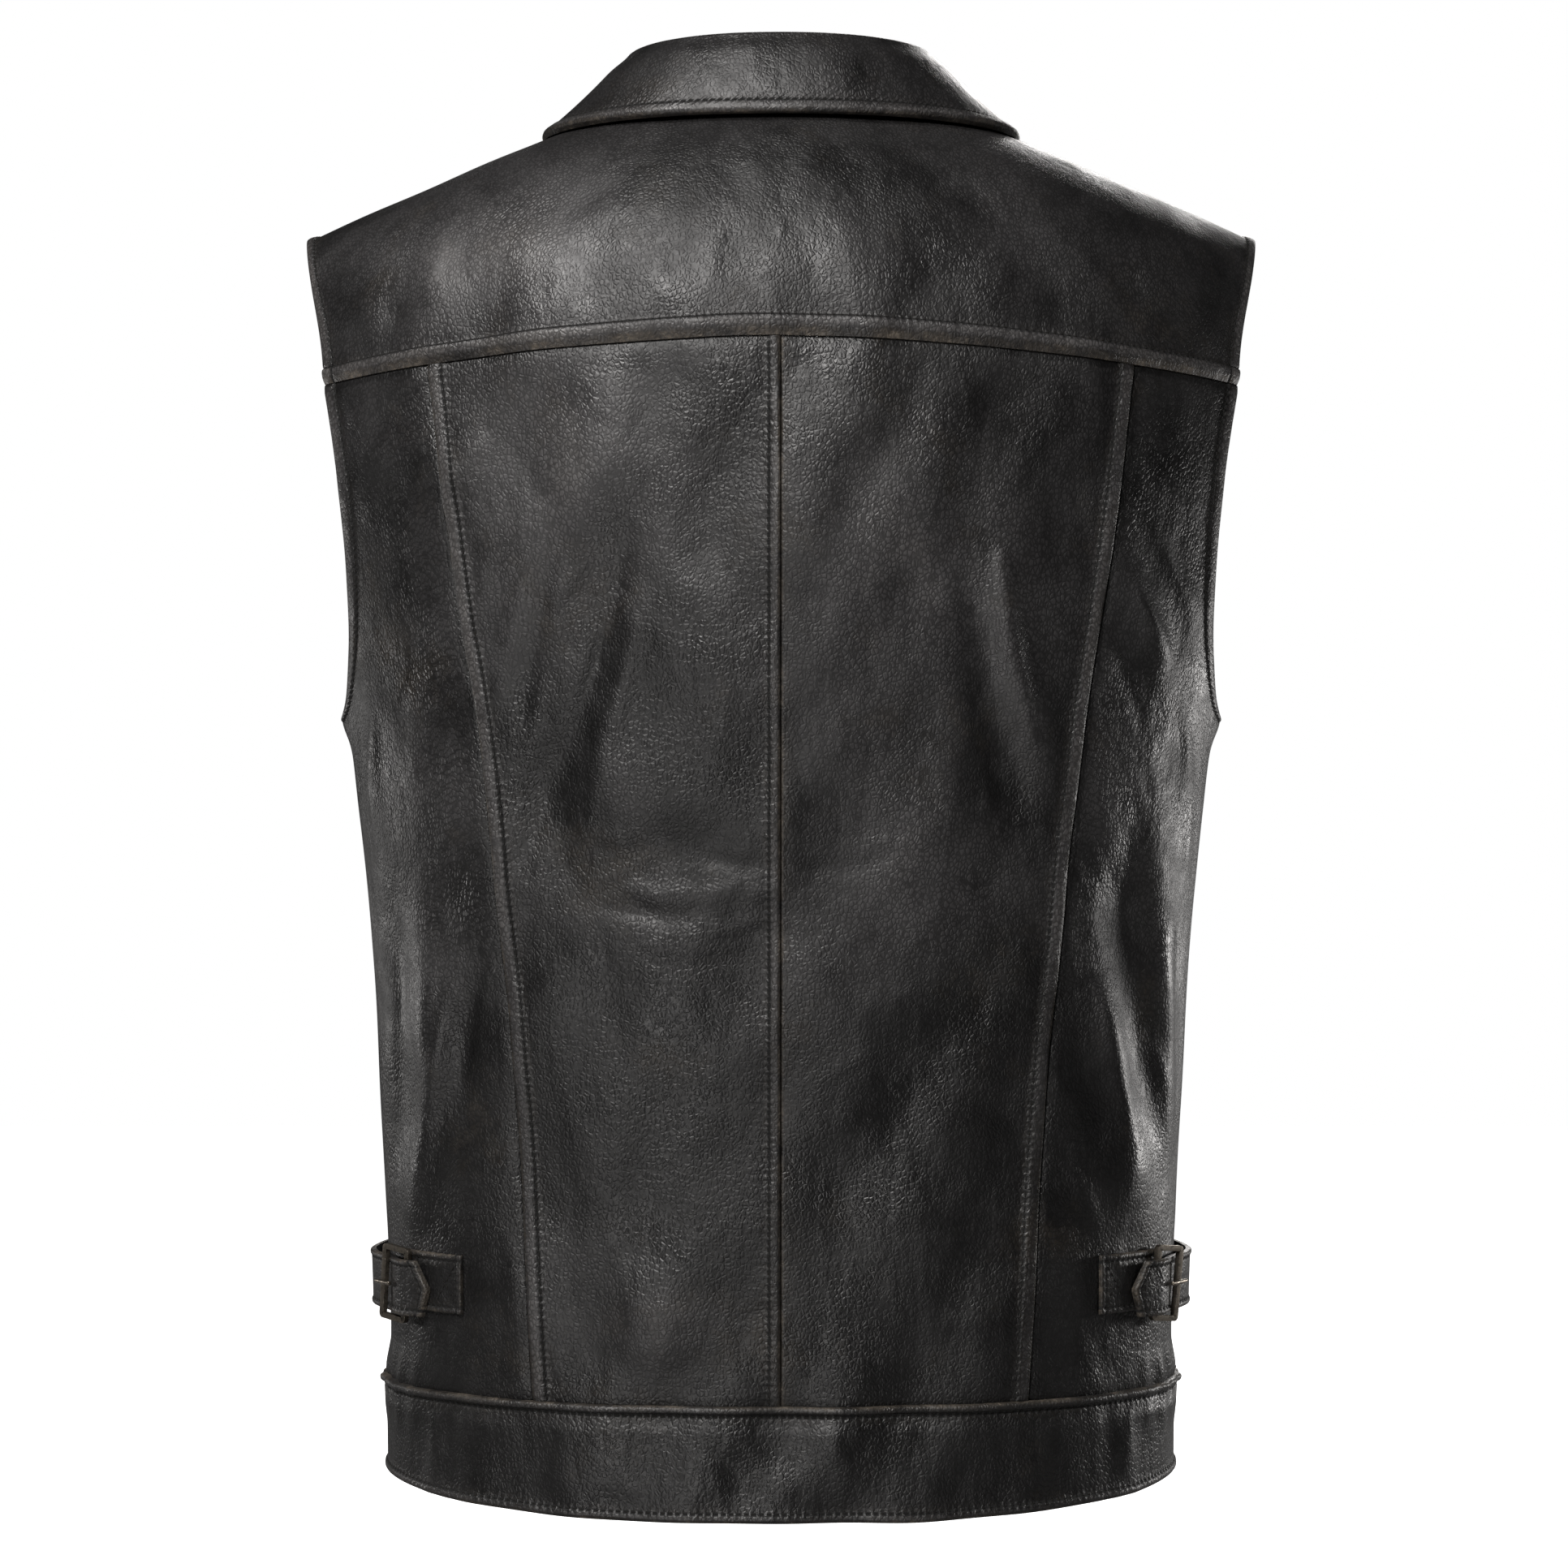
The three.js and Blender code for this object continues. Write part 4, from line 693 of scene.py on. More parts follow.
def addSheet(name, sheet, node):
    kinds, step = sheet["kinds"], sheet["mesh"]
    stops = {way: stopsFor(kind) for way, kind in kinds.items()}
    even = shares([sheet["lengths"].mean()], stops["bottom"], stops["top"], step)[0]
    u = shares(widthAt(sheet, even), stops["left"], stops["right"], step)
    columnLengths = lengthAt(sheet, u[len(even) // 2])
    # The longest column sets how many rows there are
    scaled = shares(np.append(columnLengths, sheet["lengths"].max()), stops["bottom"], stops["top"], step)
    v = scaled[:-1].T
    level = spread(0, 1, 300)
    allShares = shares(widthAt(sheet, level), stops["left"], stops["right"], step)
    u = np.stack([np.interp(v[:, k], level, allShares[:, k]) for k in range(v.shape[1])], axis=1)
    made = surfaceAt(sheet, u, v)
    piece = closedSheet(name, made["outer"], made["inner"], {"row": made["row"], "tone": made["tone"]})
    piece.data.materials.append(shell)
    piece.data.materials.append(sheet["lining"])
    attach(piece, "root")
    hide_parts(node)
    sides = [np.linalg.norm(np.diff(made["p"], axis=axis), axis=-1) for axis in (0, 1)]
    area = (sides[0][:, :-1] * sides[1][:-1, :]).sum() * mm * mm
    flat = (float(sides[1].sum(1).max()) * mm, float(sides[0].sum(0).max()) * mm)
    area = min(float(area), 0.999 * flat[0] * flat[1])
    triangles = len(piece.data.polygons) * 2
    print(f"{name}: {triangles} triangles, cut {flat[0]:.3f} x {flat[1]:.3f} m, {area:.4f} m2")
    for way in sheet["edges"]:
        if kinds[way]["row"]:
            stitchRow(sheet, way, kinds[way]["row"])


stitchSpots = []


def stitchRow(sheet, way, away):
    t = spread(sheet["turnedFrom"].get(way, 0), sheet["rowEnd"].get(way, 1), 600)
    if way in ("left", "right"):
        share = away / widthAt(sheet, t)
        stitchLine(sheet, share if way == "left" else 1 - share, t)
    else:
        share = away / lengthAt(sheet, t)
        stitchLine(sheet, t, share if way == "bottom" else 1 - share)


def stitchLine(sheet, u, v):
    made = surfaceAt(sheet, u, v)
    line, normal = made["outer"], made["n"]
    run = np.concatenate([[0], np.cumsum(np.linalg.norm(np.diff(line, axis=0), axis=1))])
    count = int((run[-1] - stitch["endGap"]) / stitch["pitch"])
    if count < 1:
        return

    def onLine(values, at):
        return np.stack([np.interp(at, run, values[:, k]) for k in range(3)], axis=1)
    middle = stitch["pitch"] * (np.arange(count) + 1)
    at, ahead = onLine(line, middle), onLine(line, middle + 0.5)
    stitchSpots.append((at, unit(ahead - at), unit(onLine(normal, middle))))


print("form ready")


# Materials: a node is made by its kind, and its sockets take numbers or other sockets
def plug(material, socket, value):
    if isinstance(value, bpy.types.NodeSocket):
        material.node_tree.links.new(value, socket)
    else:
        socket.default_value = value


def makeNode(material, kind, output, inputs=None, **settings):
    made = material.node_tree.nodes.new(kind)
    for key, value in settings.items():
        setattr(made, key, value)
    for key, value in (inputs or {}).items():
        plug(material, made.inputs[key], value)
    return made.outputs[output]


def calc(material, operation, first, *others):  # one node for each further value, in a chain
    for other in others or (0.0,):
        first = makeNode(material, "ShaderNodeMath", 0, {0: first, 1: other}, operation=operation)
    return first


def parts(material, vector):
    return [makeNode(material, "ShaderNodeSeparateXYZ", k, {0: vector}) for k in range(3)]


def ranged(material, value, low, high, toLow=0.0, toHigh=1.0):
    inputs = {"Value": value, "From Min": low, "From Max": high, "To Min": toLow, "To Max": toHigh}
    return makeNode(material, "ShaderNodeMapRange", 0, inputs, interpolation_type="SMOOTHSTEP")


def blendColour(material, share, a, b):
    return makeNode(material, "ShaderNodeMix", 2, {0: share, 6: a, 7: b}, data_type="RGBA")


def layered(material, colour, layers):  # a layer is its share and its colour
    for share, over in layers:
        colour = blendColour(material, share, colour, over)
    return colour


def cloudy(material, vector, scale, detail=3.0, rough=0.55, distortion=0.0):
    inputs = {"Vector": vector, "Scale": scale, "Detail": detail, "Roughness": rough,
              "Distortion": distortion}
    return makeNode(material, "ShaderNodeTexNoise", 0, inputs)


def stretched(material, vector, turn, scale):
    return makeNode(material, "ShaderNodeMapping", 0, {"Vector": vector, "Rotation": turn, "Scale": scale})


def raised(material, vector, form):  # a noise that leans and is drawn out, as its look says
    drawn = stretched(material, vector, (0, math.radians(form["lean"]), 0), (1, 1, form["length"]))
    return cloudy(material, drawn, *form["noise"])


def startMaterial(name):
    material = bpy.data.materials.new(name)
    material.use_nodes = True
    material.node_tree.nodes.clear()
    shader = material.node_tree.nodes.new("ShaderNodeBsdfPrincipled")
    output = material.node_tree.nodes.new("ShaderNodeOutputMaterial")
    material.node_tree.links.new(shader.outputs[0], output.inputs[0])
    spot = makeNode(material, "ShaderNodeTexCoord", "Object")
    return material, shader, spot


def finished(material, shader, height, inputs):
    for key, value in inputs.items():
        plug(material, shader.inputs[key], value)
    bump = makeNode(material, "ShaderNodeBump", 0, {"Strength": 1.0, "Distance": 1.0, "Height": height})
    plug(material, shader.inputs["Normal"], bump)
    return material


# Depths and the grain's size are in metres. A pattern has its lean in degrees, its length, its depth,
# and its noise as scale, detail, roughness and warp.
leatherLook = {
    # The two lighter colours serve the dye's paler clouds and the painted light alike
    "dark": (0.005, 0.0047, 0.0049, 1), "paleAndLit": (0.046, 0.044, 0.045, 1), "fadedAndLit": (0.095, 0.09, 0.088, 1),
    # The darkest colour is painted shade in the grain's cracks and the stitch grooves, and also the thread's
    # own black
    "shadeAndThread": (0.002, 0.0019, 0.0018, 1), "stain": (0.026, 0.021, 0.0155, 1),
    "rubbed": (0.13, 0.108, 0.084, 1),
    "grain": 0.0019, "grainLean": 24, "grainLength": 0.76, "grainWarp": 0.0013, "grainDepth": 0.00015,
    "wrinkles": {"lean": -26, "length": 0.3, "noise": (150.0, 3.5, 0.55, 0.25), "depth": 0.00046},
    "dents": {"lean": -18, "length": 0.6, "noise": (36.0, 3.0, 0.5, 0.1), "depth": 0.0027},
    "swells": {"lean": 14, "length": 0.7, "noise": (12.0, 2.0, 0.5, 0.2), "depth": 0.007},
    "bandFolds": {"lean": -12, "length": 0.22, "noise": (44.0, 2.5, 0.5, 0.1), "depth": 0.0022},
    "poreDepth": 0.00003, "puckerDepth": 0.00013, "crinkleDepth": 0.0007, "crinkleScale": (230, 55, 1),
    "roughness": 0.43, "rubbedRoughness": 0.25, "stitchRoughness": 0.4, "specular": 0.5,
}


def makeLeather(name, look):
    m, shader, spot = startMaterial(name)
    along, away, weight = parts(m, makeNode(m, "ShaderNodeAttribute", "Vector", attribute_name="row"))
    wear, ridge, paleAndLit = parts(m, makeNode(m, "ShaderNodeAttribute", "Vector", attribute_name="tone"))
    x, y, z = parts(m, spot)
    mirrored = makeNode(m, "ShaderNodeCombineXYZ", 0, {0: calc(m, "ABSOLUTE", x), 1: y, 2: z})
    apart = calc(m, "ABSOLUTE", away)

    # Pebbled grain, pulled out of round, with fine pores
    leaning = stretched(m, spot, (0, math.radians(look["grainLean"]), 0), (1, 1, look["grainLength"]))
    wobble = makeNode(m, "ShaderNodeTexNoise", 1, {"Vector": leaning, "Scale": 300.0, "Detail": 2.0})
    shaken = makeNode(m, "ShaderNodeVectorMath", 0, {0: wobble, 1: (look["grainWarp"],) * 3, 2: leaning},
                      operation="MULTIPLY_ADD")
    cell = makeNode(m, "ShaderNodeTexVoronoi", 0, {"Vector": shaken, "Scale": 1 / look["grain"]},
                    feature="DISTANCE_TO_EDGE")
    pebble = ranged(m, cell, 0.0, 0.3)
    grainHold = ranged(m, cloudy(m, spot, 24.0, 3.0), 0.3, 0.62, 0.55, 1.0)
    pores = cloudy(m, spot, 1300.0, 2.0)

    # Slanting wrinkles and dents, turned the other way on the other side, and folds on the waistband
    wrinkles, dents = raised(m, mirrored, look["wrinkles"]), raised(m, mirrored, look["dents"])
    bandFolds = raised(m, mirrored, look["bandFolds"])
    swells = raised(m, spot, look["swells"])
    wrinkled = ranged(m, cloudy(m, spot, 15.0, 3.0), 0.36, 0.62, 0.25, 1.0)
    wrinkled = calc(m, "MULTIPLY", wrinkled, ranged(m, z, -0.1, -0.07, 1.0, 0.5))
    onBand = ranged(m, z, -0.575, -0.567, 1.0, 0.0)

    # Puckers at the stitches, and crinkles that run away from each row
    close = calc(m, "MULTIPLY", weight, ranged(m, apart, 0.0, 0.0035, 1.0, 0.0))
    wide = calc(m, "MULTIPLY", weight, ranged(m, apart, 0.0, 0.02, 1.0, 0.0))
    beat = calc(m, "COSINE", calc(m, "MULTIPLY", along, 2 * math.pi / (stitch["pitch"] * mm)))
    across = makeNode(m, "ShaderNodeCombineXYZ", 0, {0: along, 1: away})
    crinkle = cloudy(m, stretched(m, across, (0, 0, 0), look["crinkleScale"]), 1.0, 3.0, 0.55, 0.5)
    crinkleSpots = ranged(m, cloudy(m, spot, 28.0, 2.0), 0.4, 0.6, 0.2, 1.0)
    height = calc(
        m, "ADD",
        calc(m, "MULTIPLY", pebble, grainHold, look["grainDepth"]),
        calc(m, "MULTIPLY", pores, look["poreDepth"]),
        calc(m, "MULTIPLY", wrinkles, wrinkled, look["wrinkles"]["depth"]),
        calc(m, "MULTIPLY", dents, look["dents"]["depth"]),
        calc(m, "MULTIPLY", swells, look["swells"]["depth"]),
        calc(m, "MULTIPLY", bandFolds, onBand, look["bandFolds"]["depth"]),
        calc(m, "MULTIPLY", beat, close, -look["puckerDepth"]),
        calc(m, "MULTIPLY", crinkle, wide, crinkleSpots, look["crinkleDepth"]),
    )

    # Colour: clouded at random and rubbed brown along seams and ridges, with painted light and painted shade:
    # lighter spots, strips and roll, darker under laps, in the grain's cracks, the stitch grooves and the
    # folds' troughs
    clouds = cloudy(m, stretched(m, mirrored, (0, -0.35, 0), (1, 1, 0.6)), 14.0, 6.0, 0.62, 0.4)
    # The tone attribute's painted light and shade, the dye's random clouds, and painted light on fold crests
    # with painted shade in their troughs
    paleAndLitLevel = calc(m, "ADD", paleAndLit, ranged(m, clouds, 0.38, 0.7, -0.05, 0.6), calc(m, "MULTIPLY", ridge, 0.2))
    paleAndLitShare = calc(m, "MAXIMUM", calc(m, "MINIMUM", paleAndLitLevel, 1.0), 0.0)
    stains = ranged(m, cloudy(m, spot, 21.0, 6.0, 0.7), 0.54, 0.74, 0.0, 0.6)
    flecks = ranged(m, cloudy(m, spot, 330.0, 5.0, 0.75), 0.44, 0.7, 0.3, 1.0)
    streaks = ranged(m, cloudy(m, spot, 52.0, 4.0, 0.65), 0.36, 0.64, 0.12, 1.0)
    rubbing = calc(m, "MULTIPLY", wear, calc(m, "MULTIPLY", flecks, streaks))
    scuffs = ranged(m, cloudy(m, spot, 560.0, 4.0, 0.8), 0.66, 0.82, 0.0, 0.2)
    scuffed = calc(m, "MULTIPLY", scuffs, ranged(m, cloudy(m, spot, 17.0, 4.0), 0.5, 0.7))
    dash = calc(m, "MULTIPLY", ranged(m, beat, -0.75, -0.2), ranged(m, apart, 0.0005, 0.0011, 1.0, 0.0))
    # Painted shade darkens the grain's cracks and the stitch grooves; the dark dashes are the thread
    colour = layered(m, blendColour(m, paleAndLitShare, look["dark"], look["paleAndLit"]), [
        (ranged(m, paleAndLitLevel, 0.85, 1.7), look["fadedAndLit"]),
        (stains, look["stain"]),
        (calc(m, "MULTIPLY", calc(m, "SUBTRACT", 1.0, pebble), 0.6), look["shadeAndThread"]),
        (calc(m, "MINIMUM", calc(m, "ADD", rubbing, scuffed), 0.9), look["rubbed"]),
        (ranged(m, apart, 0.0002, 0.0009, 0.6, 0.0), look["shadeAndThread"]),
        (dash, look["shadeAndThread"]),
    ])
    rough = ranged(m, cloudy(m, spot, 30.0, 5.0, 0.65), 0.3, 0.7, -0.07, 0.14)
    rough = calc(m, "ADD", rough, look["roughness"])
    rougher = calc(m, "ADD", calc(m, "MULTIPLY", rubbing, look["rubbedRoughness"]),
                   calc(m, "MULTIPLY", dash, look["stitchRoughness"]))
    return finished(m, shader, height, {
        "Base Color": colour, "Roughness": calc(m, "ADD", rough, rougher),
        "Specular IOR Level": look["specular"]})


suedeLook = {
    "dark": (0.012, 0.011, 0.0105, 1), "worn": (0.026, 0.0235, 0.021, 1), "nap": (0.045, 0.041, 0.037, 1),
    "napDepth": 0.00018,
}


def makeSuede(name, look):
    m, shader, spot = startMaterial(name)
    nap = cloudy(m, spot, 900.0, 4.0, 0.7)
    patches = cloudy(m, spot, 24.0, 4.0, 0.6)
    colour = blendColour(m, ranged(m, patches, 0.3, 0.7), look["dark"], look["worn"])
    return finished(m, shader, calc(m, "MULTIPLY", nap, look["napDepth"]), {
        "Base Color": blendColour(m, ranged(m, nap, 0.45, 0.75, 0.0, 0.5), colour, look["nap"]),
        "Roughness": ranged(m, patches, 0.3, 0.7, 0.82, 0.95)})


threadLook = {
    "dark": (0.004, 0.0038, 0.0036, 1), "light": (0.013, 0.012, 0.011, 1), "dust": (0.016, 0.013, 0.01, 1),
    "fibreDepth": 0.0002, "specular": 0.15,
}


def makeThread(name, look):
    m, shader, spot = startMaterial(name)
    fibre = cloudy(m, spot, 1400.0, 3.0, 0.7)
    dust = ranged(m, cloudy(m, spot, 90.0, 3.0), 0.5, 0.75, 0.0, 0.7)
    return finished(m, shader, calc(m, "MULTIPLY", fibre, look["fibreDepth"]), {
        "Base Color": blendColour(m, dust, blendColour(m, fibre, look["dark"], look["light"]), look["dust"]),
        "Roughness": ranged(m, fibre, 0.3, 0.7, 0.55, 0.8), "Specular IOR Level": look["specular"]})


metalLook = {
    "pitDepth": 0.00012, "scratchDepth": 0.00003, "tarnished": 0.85, "smoothest": 0.26, "roughest": 0.55,
}


def makeAgedMetal(name, bright, dark, look):
    m, shader, spot = startMaterial(name)
    tarnish = cloudy(m, spot, 160.0, 6.0, 0.7, 0.4)
    scratch = cloudy(m, stretched(m, spot, (0.4, 0.7, 0.2), (1, 1, 9)), 260.0, 4.0, 0.7)
    share = calc(m, "MULTIPLY", ranged(m, tarnish, 0.42, 0.66), look["tarnished"])
    height = calc(m, "ADD", calc(m, "MULTIPLY", tarnish, look["pitDepth"]),
                  calc(m, "MULTIPLY", scratch, look["scratchDepth"]))
    return finished(m, shader, height, {
        "Base Color": blendColour(m, share, bright, dark), "Metallic": 1.0,
        "Roughness": ranged(m, tarnish, 0.35, 0.7, look["smoothest"], look["roughest"])})


shell = makeLeather("blackLeather", leatherLook)
suede = makeSuede("leatherInside", suedeLook)
thread = makeThread("blackThread", threadLook)
buckleMetal = makeAgedMetal("agedNickel", (0.3, 0.265, 0.22, 1), (0.045, 0.04, 0.034, 1), metalLook)
snapMetal = makeAgedMetal("agedSnap", (0.3, 0.28, 0.26, 1), (0.06, 0.055, 0.05, 1), metalLook)
print("materials ready")


def seamAngle(side, z, towards):
    return side * (rightAngle + towards * halfGap / column(sections, "halfWidth", z))


def lowerArmhole(side, on, t):
    if on == "back":
        topDepth, topZ = armhole["backDepth"], armhole["backZ"]
    else:
        topDepth, topZ = depthAt(armhole["chestX"], heights["chest"], on), heights["chest"]
    z = topZ - (topZ - heights["underarm"]) * np.cos(t) ** (2 / armhole["power"])
    y = topDepth * np.sin(t) ** (2 / armhole["power"])
    power = column(sections, "power", z)
    share = 1 - np.minimum(1, y / column(sections, on, z)) ** power
    x = column(sections, "halfWidth", z) * share ** (1 / power)
    return side * np.arctan2(x, y if on == "back" else -y), z


def lengthsOf(pointAt, edge):
    points = pointAt(edge[:, 0], edge[:, 1])
    return np.concatenate([[0], np.cumsum(np.linalg.norm(np.diff(points, axis=0), axis=1))])


# Coordinates of a panel between two edges, which are walked at equal shares of their lengths
def betweenEdges(pointAt, left, right, top):
    even = spread(0, 1, 400)
    edges = []
    for edge in (left, right):
        run = lengthsOf(pointAt, edge)
        edges.append([np.interp(even * run[-1], run, edge[:, k]) for k in (0, 1)])
    ends = [np.array([edge[0][-1], edge[1][-1]]) for edge in edges]

    def coordinates(u, v):
        a, b = [(1 - u) * np.interp(v, even, edges[0][k]) + u * np.interp(v, even, edges[1][k])
                for k in (0, 1)]
        topA, topB = top(u)
        a = a + v**3 * (topA - (1 - u) * ends[0][0] - u * ends[1][0])
        b = b + v**3 * (topB - (1 - u) * ends[0][1] - u * ends[1][1])
        return a, b
    return coordinates


lowZ = heights["bandTop"] + halfGap
seamTopX = sideBackSeam["x"][-1]


def sideBackEdge(side, towards):  # up the seam between a centre and a side panel
    z = spread(lowZ, yokeZ(seamTopX) - halfGap, 120)
    x = column(sideBackSeam, "x", z) + towards * halfGap
    return np.stack([side * angleAt(x, z, "back"), z], axis=1)


def sideEdge(side, on):  # up the side seam and round the lower armhole, and how many points are on the seam
    z = spread(lowZ, heights["underarm"], 100)
    seam = np.stack([seamAngle(side, z, -1 if on == "back" else 1), z], axis=1)
    lower = np.stack(lowerArmhole(side, on, spread(0, rightAngle, 60)), axis=1)
    return np.concatenate([seam, lower[1:]]), len(seam)


def backCentre(side):
    z = spread(lowZ, heights["yokeCentre"] - halfGap, 120)
    left = np.stack([side * angleAt(np.full_like(z, halfGap), z, "back"), z], axis=1)
    right = sideBackEdge(side, -1)

    def top(u):
        angle = (1 - u) * left[-1, 0] + u * right[-1, 0]
        return angle, yokeZ(bodyPoint(angle, heights["yokeCentre"])[..., 0]) - halfGap
    edges = {"left": "centre" if side < 0 else "seam", "right": "lap"}
    return newSheet(bodyPoint, betweenEdges(bodyPoint, left, right, top), edges)


def backSide(side):
    topZ = yokeZ(armhole["yokeX"]) - halfGap
    lower, seamCount = sideEdge(side, "back")
    endAngle = side * angleAt(np.array(armhole["yokeX"], float), topZ, "back")
    t = spread(0, 1, 20)
    upper = np.stack([lower[-1, 0] + (endAngle - lower[-1, 0]) * t**1.5,
                      lower[-1, 1] + (topZ - lower[-1, 1]) * t], axis=1)
    right = np.concatenate([lower, upper[1:]])
    run = lengthsOf(bodyPoint, right)
    left = sideBackEdge(side, 1)

    def top(u):
        angle = (1 - u) * left[-1, 0] + u * endAngle
        return angle, yokeZ(bodyPoint(angle, topZ)[..., 0]) - halfGap
    return newSheet(bodyPoint, betweenEdges(bodyPoint, left, right, top), {"right": "hem"},
                    turnedFrom={"right": run[seamCount] / run[-1]}, lift=lambda p, a, b: flare(p))


neckCornerTurn = math.pi - math.acos((shoulder["seamY"] / neckRing["front"]) ** (neckRing["power"] / 2))
seamInX = float(ringPoint(neckRing, neckCornerTurn)[0])
seamOutX = float(armholeX(shoulder["seamY"], "front"))


def frontPanel(side):
    upper = side < 0  # the wearer's left front lies on the right one
    lower, seamCount = sideEdge(side, "front")
    seamY = shoulder["seamY"] + halfGap
    y = spread(depthAt(armhole["chestX"], heights["chest"], "front"), seamY, 60)[1:]
    x = side * armholeX(y, "front")
    overChest = np.stack([frontAngle(x, side), frontHeight(upAtDepth(x, y, "front"))], axis=1)
    right = np.concatenate([lower, overChest])
    run = lengthsOf(frontPoint, right)

    def neckAt(turn):
        x, y = ringPoint(neckRing, side * turn)
        lowered = y + (opening["neckShare"] * overlapRise(x, opening["lift"]) if upper else 0)
        return np.stack([frontAngle(x, side), frontHeight(upAtDepth(x, lowered, "front"))], axis=1)
    edgeTurn = math.pi + math.asin((opening["overlap"] / neckRing["halfWidth"]) ** (neckRing["power"] / 2))
    neckEdge = neckAt(spread(edgeTurn, neckCornerTurn, 60))
    z = spread(lowZ, neckEdge[0, 1], 140)
    depth = column(sections, "front", np.minimum(z, heights["chest"]))
    centre = np.stack([side * (math.pi + np.arctan(opening["overlap"] / depth)), z], axis=1)
    left = np.concatenate([centre, neckEdge[1:]])
    runLeft = lengthsOf(frontPoint, left)

    def top(u):
        x = side * (seamInX + (seamOutX - seamInX) * u)
        return frontAngle(x, side), frontHeight(upAtDepth(x, seamY, "front"))
    edges = {"left": "opening", "right": "hem", "top": "seam"}
    return newSheet(
        frontPoint, betweenEdges(frontPoint, left, right, top), edges,
        turnedFrom={"right": run[seamCount] / run[-1]}, rowEnd={"left": runLeft[len(centre)] / runLeft[-1]},
        mesh=2.8, lift=lambda p, a, b: flare(p) + (overlapRise(p[..., 0], opening["lift"]) if upper else 0))


def yokeSheet():
    cornerX = 108
    endX = armhole["yokeX"]
    footY = -float(depthAt(np.array(endX, float), yokeZ(endX), "back"))
    seamY = shoulder["seamY"] - halfGap

    def edgeAt(v):
        y = footY + (seamY - footY) * v
        x = np.where(y < 0, armholeX(y, "back"), armholeX(y, "front"))
        return x, np.where(v <= 0, 0, yokeTurn(x, y))

    def topAt(x0):
        x, y = ringPoint(neckRing, neckCornerTurn * np.clip(x0 / cornerX, -1, 1))
        shareOut = np.clip((np.abs(x0) - cornerX) / (endX - cornerX), 0, 1)
        outX = np.sign(x0) * (seamInX + (seamOutX - seamInX) * shareOut)
        inside = np.abs(x0) <= cornerX
        x = np.where(inside, x, outX)
        return x, yokeTurn(x, np.where(inside, np.minimum(y, seamY), seamY))

    def coordinates(u, v):
        sideX, sideTurn = edgeAt(v)
        endsX, endsTurn = edgeAt(np.ones_like(v))
        topX, topTurn = topAt(endX * (2 * u - 1))
        across = 2 * u - 1
        x = across * sideX + v * (topX - across * endsX)
        return x, sideTurn + v * (topTurn - endsTurn)
    inside = armhole["topX"] - 1
    edges = {"left": "hem", "right": "hem", "bottom": "lap"}
    return newSheet(yokePoint, coordinates, edges, steps=(0.5, 5e-3),
                    inside=lambda a, b: (np.clip(a, -inside, inside), np.maximum(b, 0.006)))


band = {"lift": 1.4, "over": 1.6, "sideRise": 7.5, "risePower": 6, "riseFrom": 6.3, "riseTo": 45.5}


def bandSheet(angleFrom, angleTo, edges, lift=lambda x: 0):
    top = heights["bandTop"] - halfGap + band["over"]

    def coordinates(u, v):
        z = heights["hem"] + (top - heights["hem"]) * v
        angle = (1 - u) * angleFrom(z) + u * angleTo(z)
        low = 1 - np.clip((z - heights["hem"] - band["riseFrom"]) / (band["riseTo"] - band["riseFrom"]), 0, 1)
        return angle, z + band["sideRise"] * low * np.sin(angle) ** band["risePower"]
    return newSheet(bodyPoint, coordinates, edges, mesh=2.0,
                    lift=lambda p, a, b: band["lift"] + lift(p[..., 0]))


collar = {
    "foldZ": 62.7, "frontZ": -14, "edgeZ": 23, "endTurn": 172, "edgeEndTurn": 148, "dropFrom": 78,
    "easeOver": 25, "bulge": 3, "sideBulge": -1.7, "spring": 40, "roll": 1.575, "rollShare": 0.09,
    "clearFrom": 0.12, "lowered": 2.4, "loweredTo": 0.3, "gap": 0.55, "standFrom": -0.03, "standReach": 1.01,
}


def foldPoint(turn):
    x, y = ringPoint(foldRing, turn)
    start, end = math.radians(collar["dropFrom"]), math.radians(collar["endTurn"])
    drop = smooth((np.abs(turn) - start) / (end - start))
    return np.stack([x, y, collar["foldZ"] + (collar["frontZ"] - collar["foldZ"]) * drop], axis=-1)


def leafEdgePoint(turn):
    past = np.maximum(0, np.abs(turn) - rightAngle)
    edgeEnd, end = math.radians(collar["edgeEndTurn"]), math.radians(collar["endTurn"])
    slower = (edgeEnd - rightAngle) / (end - rightAngle)
    x, y = ringPoint(leafRing, np.sign(turn) * (np.minimum(np.abs(turn), rightAngle) + past * slower))
    ahead = shoulderPoint(x, upAtDepth(x, np.maximum(y, 0), "front"), "front")[..., 2]
    onForm = np.where(y > 0, ahead, collar["edgeZ"])
    z = collar["edgeZ"] + (onForm - collar["edgeZ"]) * smooth(past / math.radians(collar["easeOver"]))
    return np.stack([x, y, z], axis=-1)


def levelOf(x, y, z):  # below 0 inside the form
    level = []
    for on in ("back", "front"):
        foot, depth, rise, topPower, footPower = profile(x, on)
        high = np.maximum(0, (z - foot) / rise) ** footPower
        level.append(np.abs(y / np.maximum(depth, 1)) ** topPower + high - 1)
    return np.where(y < 0, level[0], level[1])


def clearOfForm(p, clearance):
    for _ in range(3):
        x, y, z = p[..., 0], p[..., 1], p[..., 2]
        gy = levelOf(x, y + 0.1, z) - levelOf(x, y - 0.1, z)
        gz = levelOf(x, y, z + 0.1) - levelOf(x, y, z - 0.1)
        slope = np.maximum(np.hypot(gy, gz), 1e-9)
        short = np.maximum(0, clearance - levelOf(x, y, z) * 0.2 / slope)
        p = p + np.stack([0 * x, gy / slope * short, gz / slope * short], axis=-1)
    return p


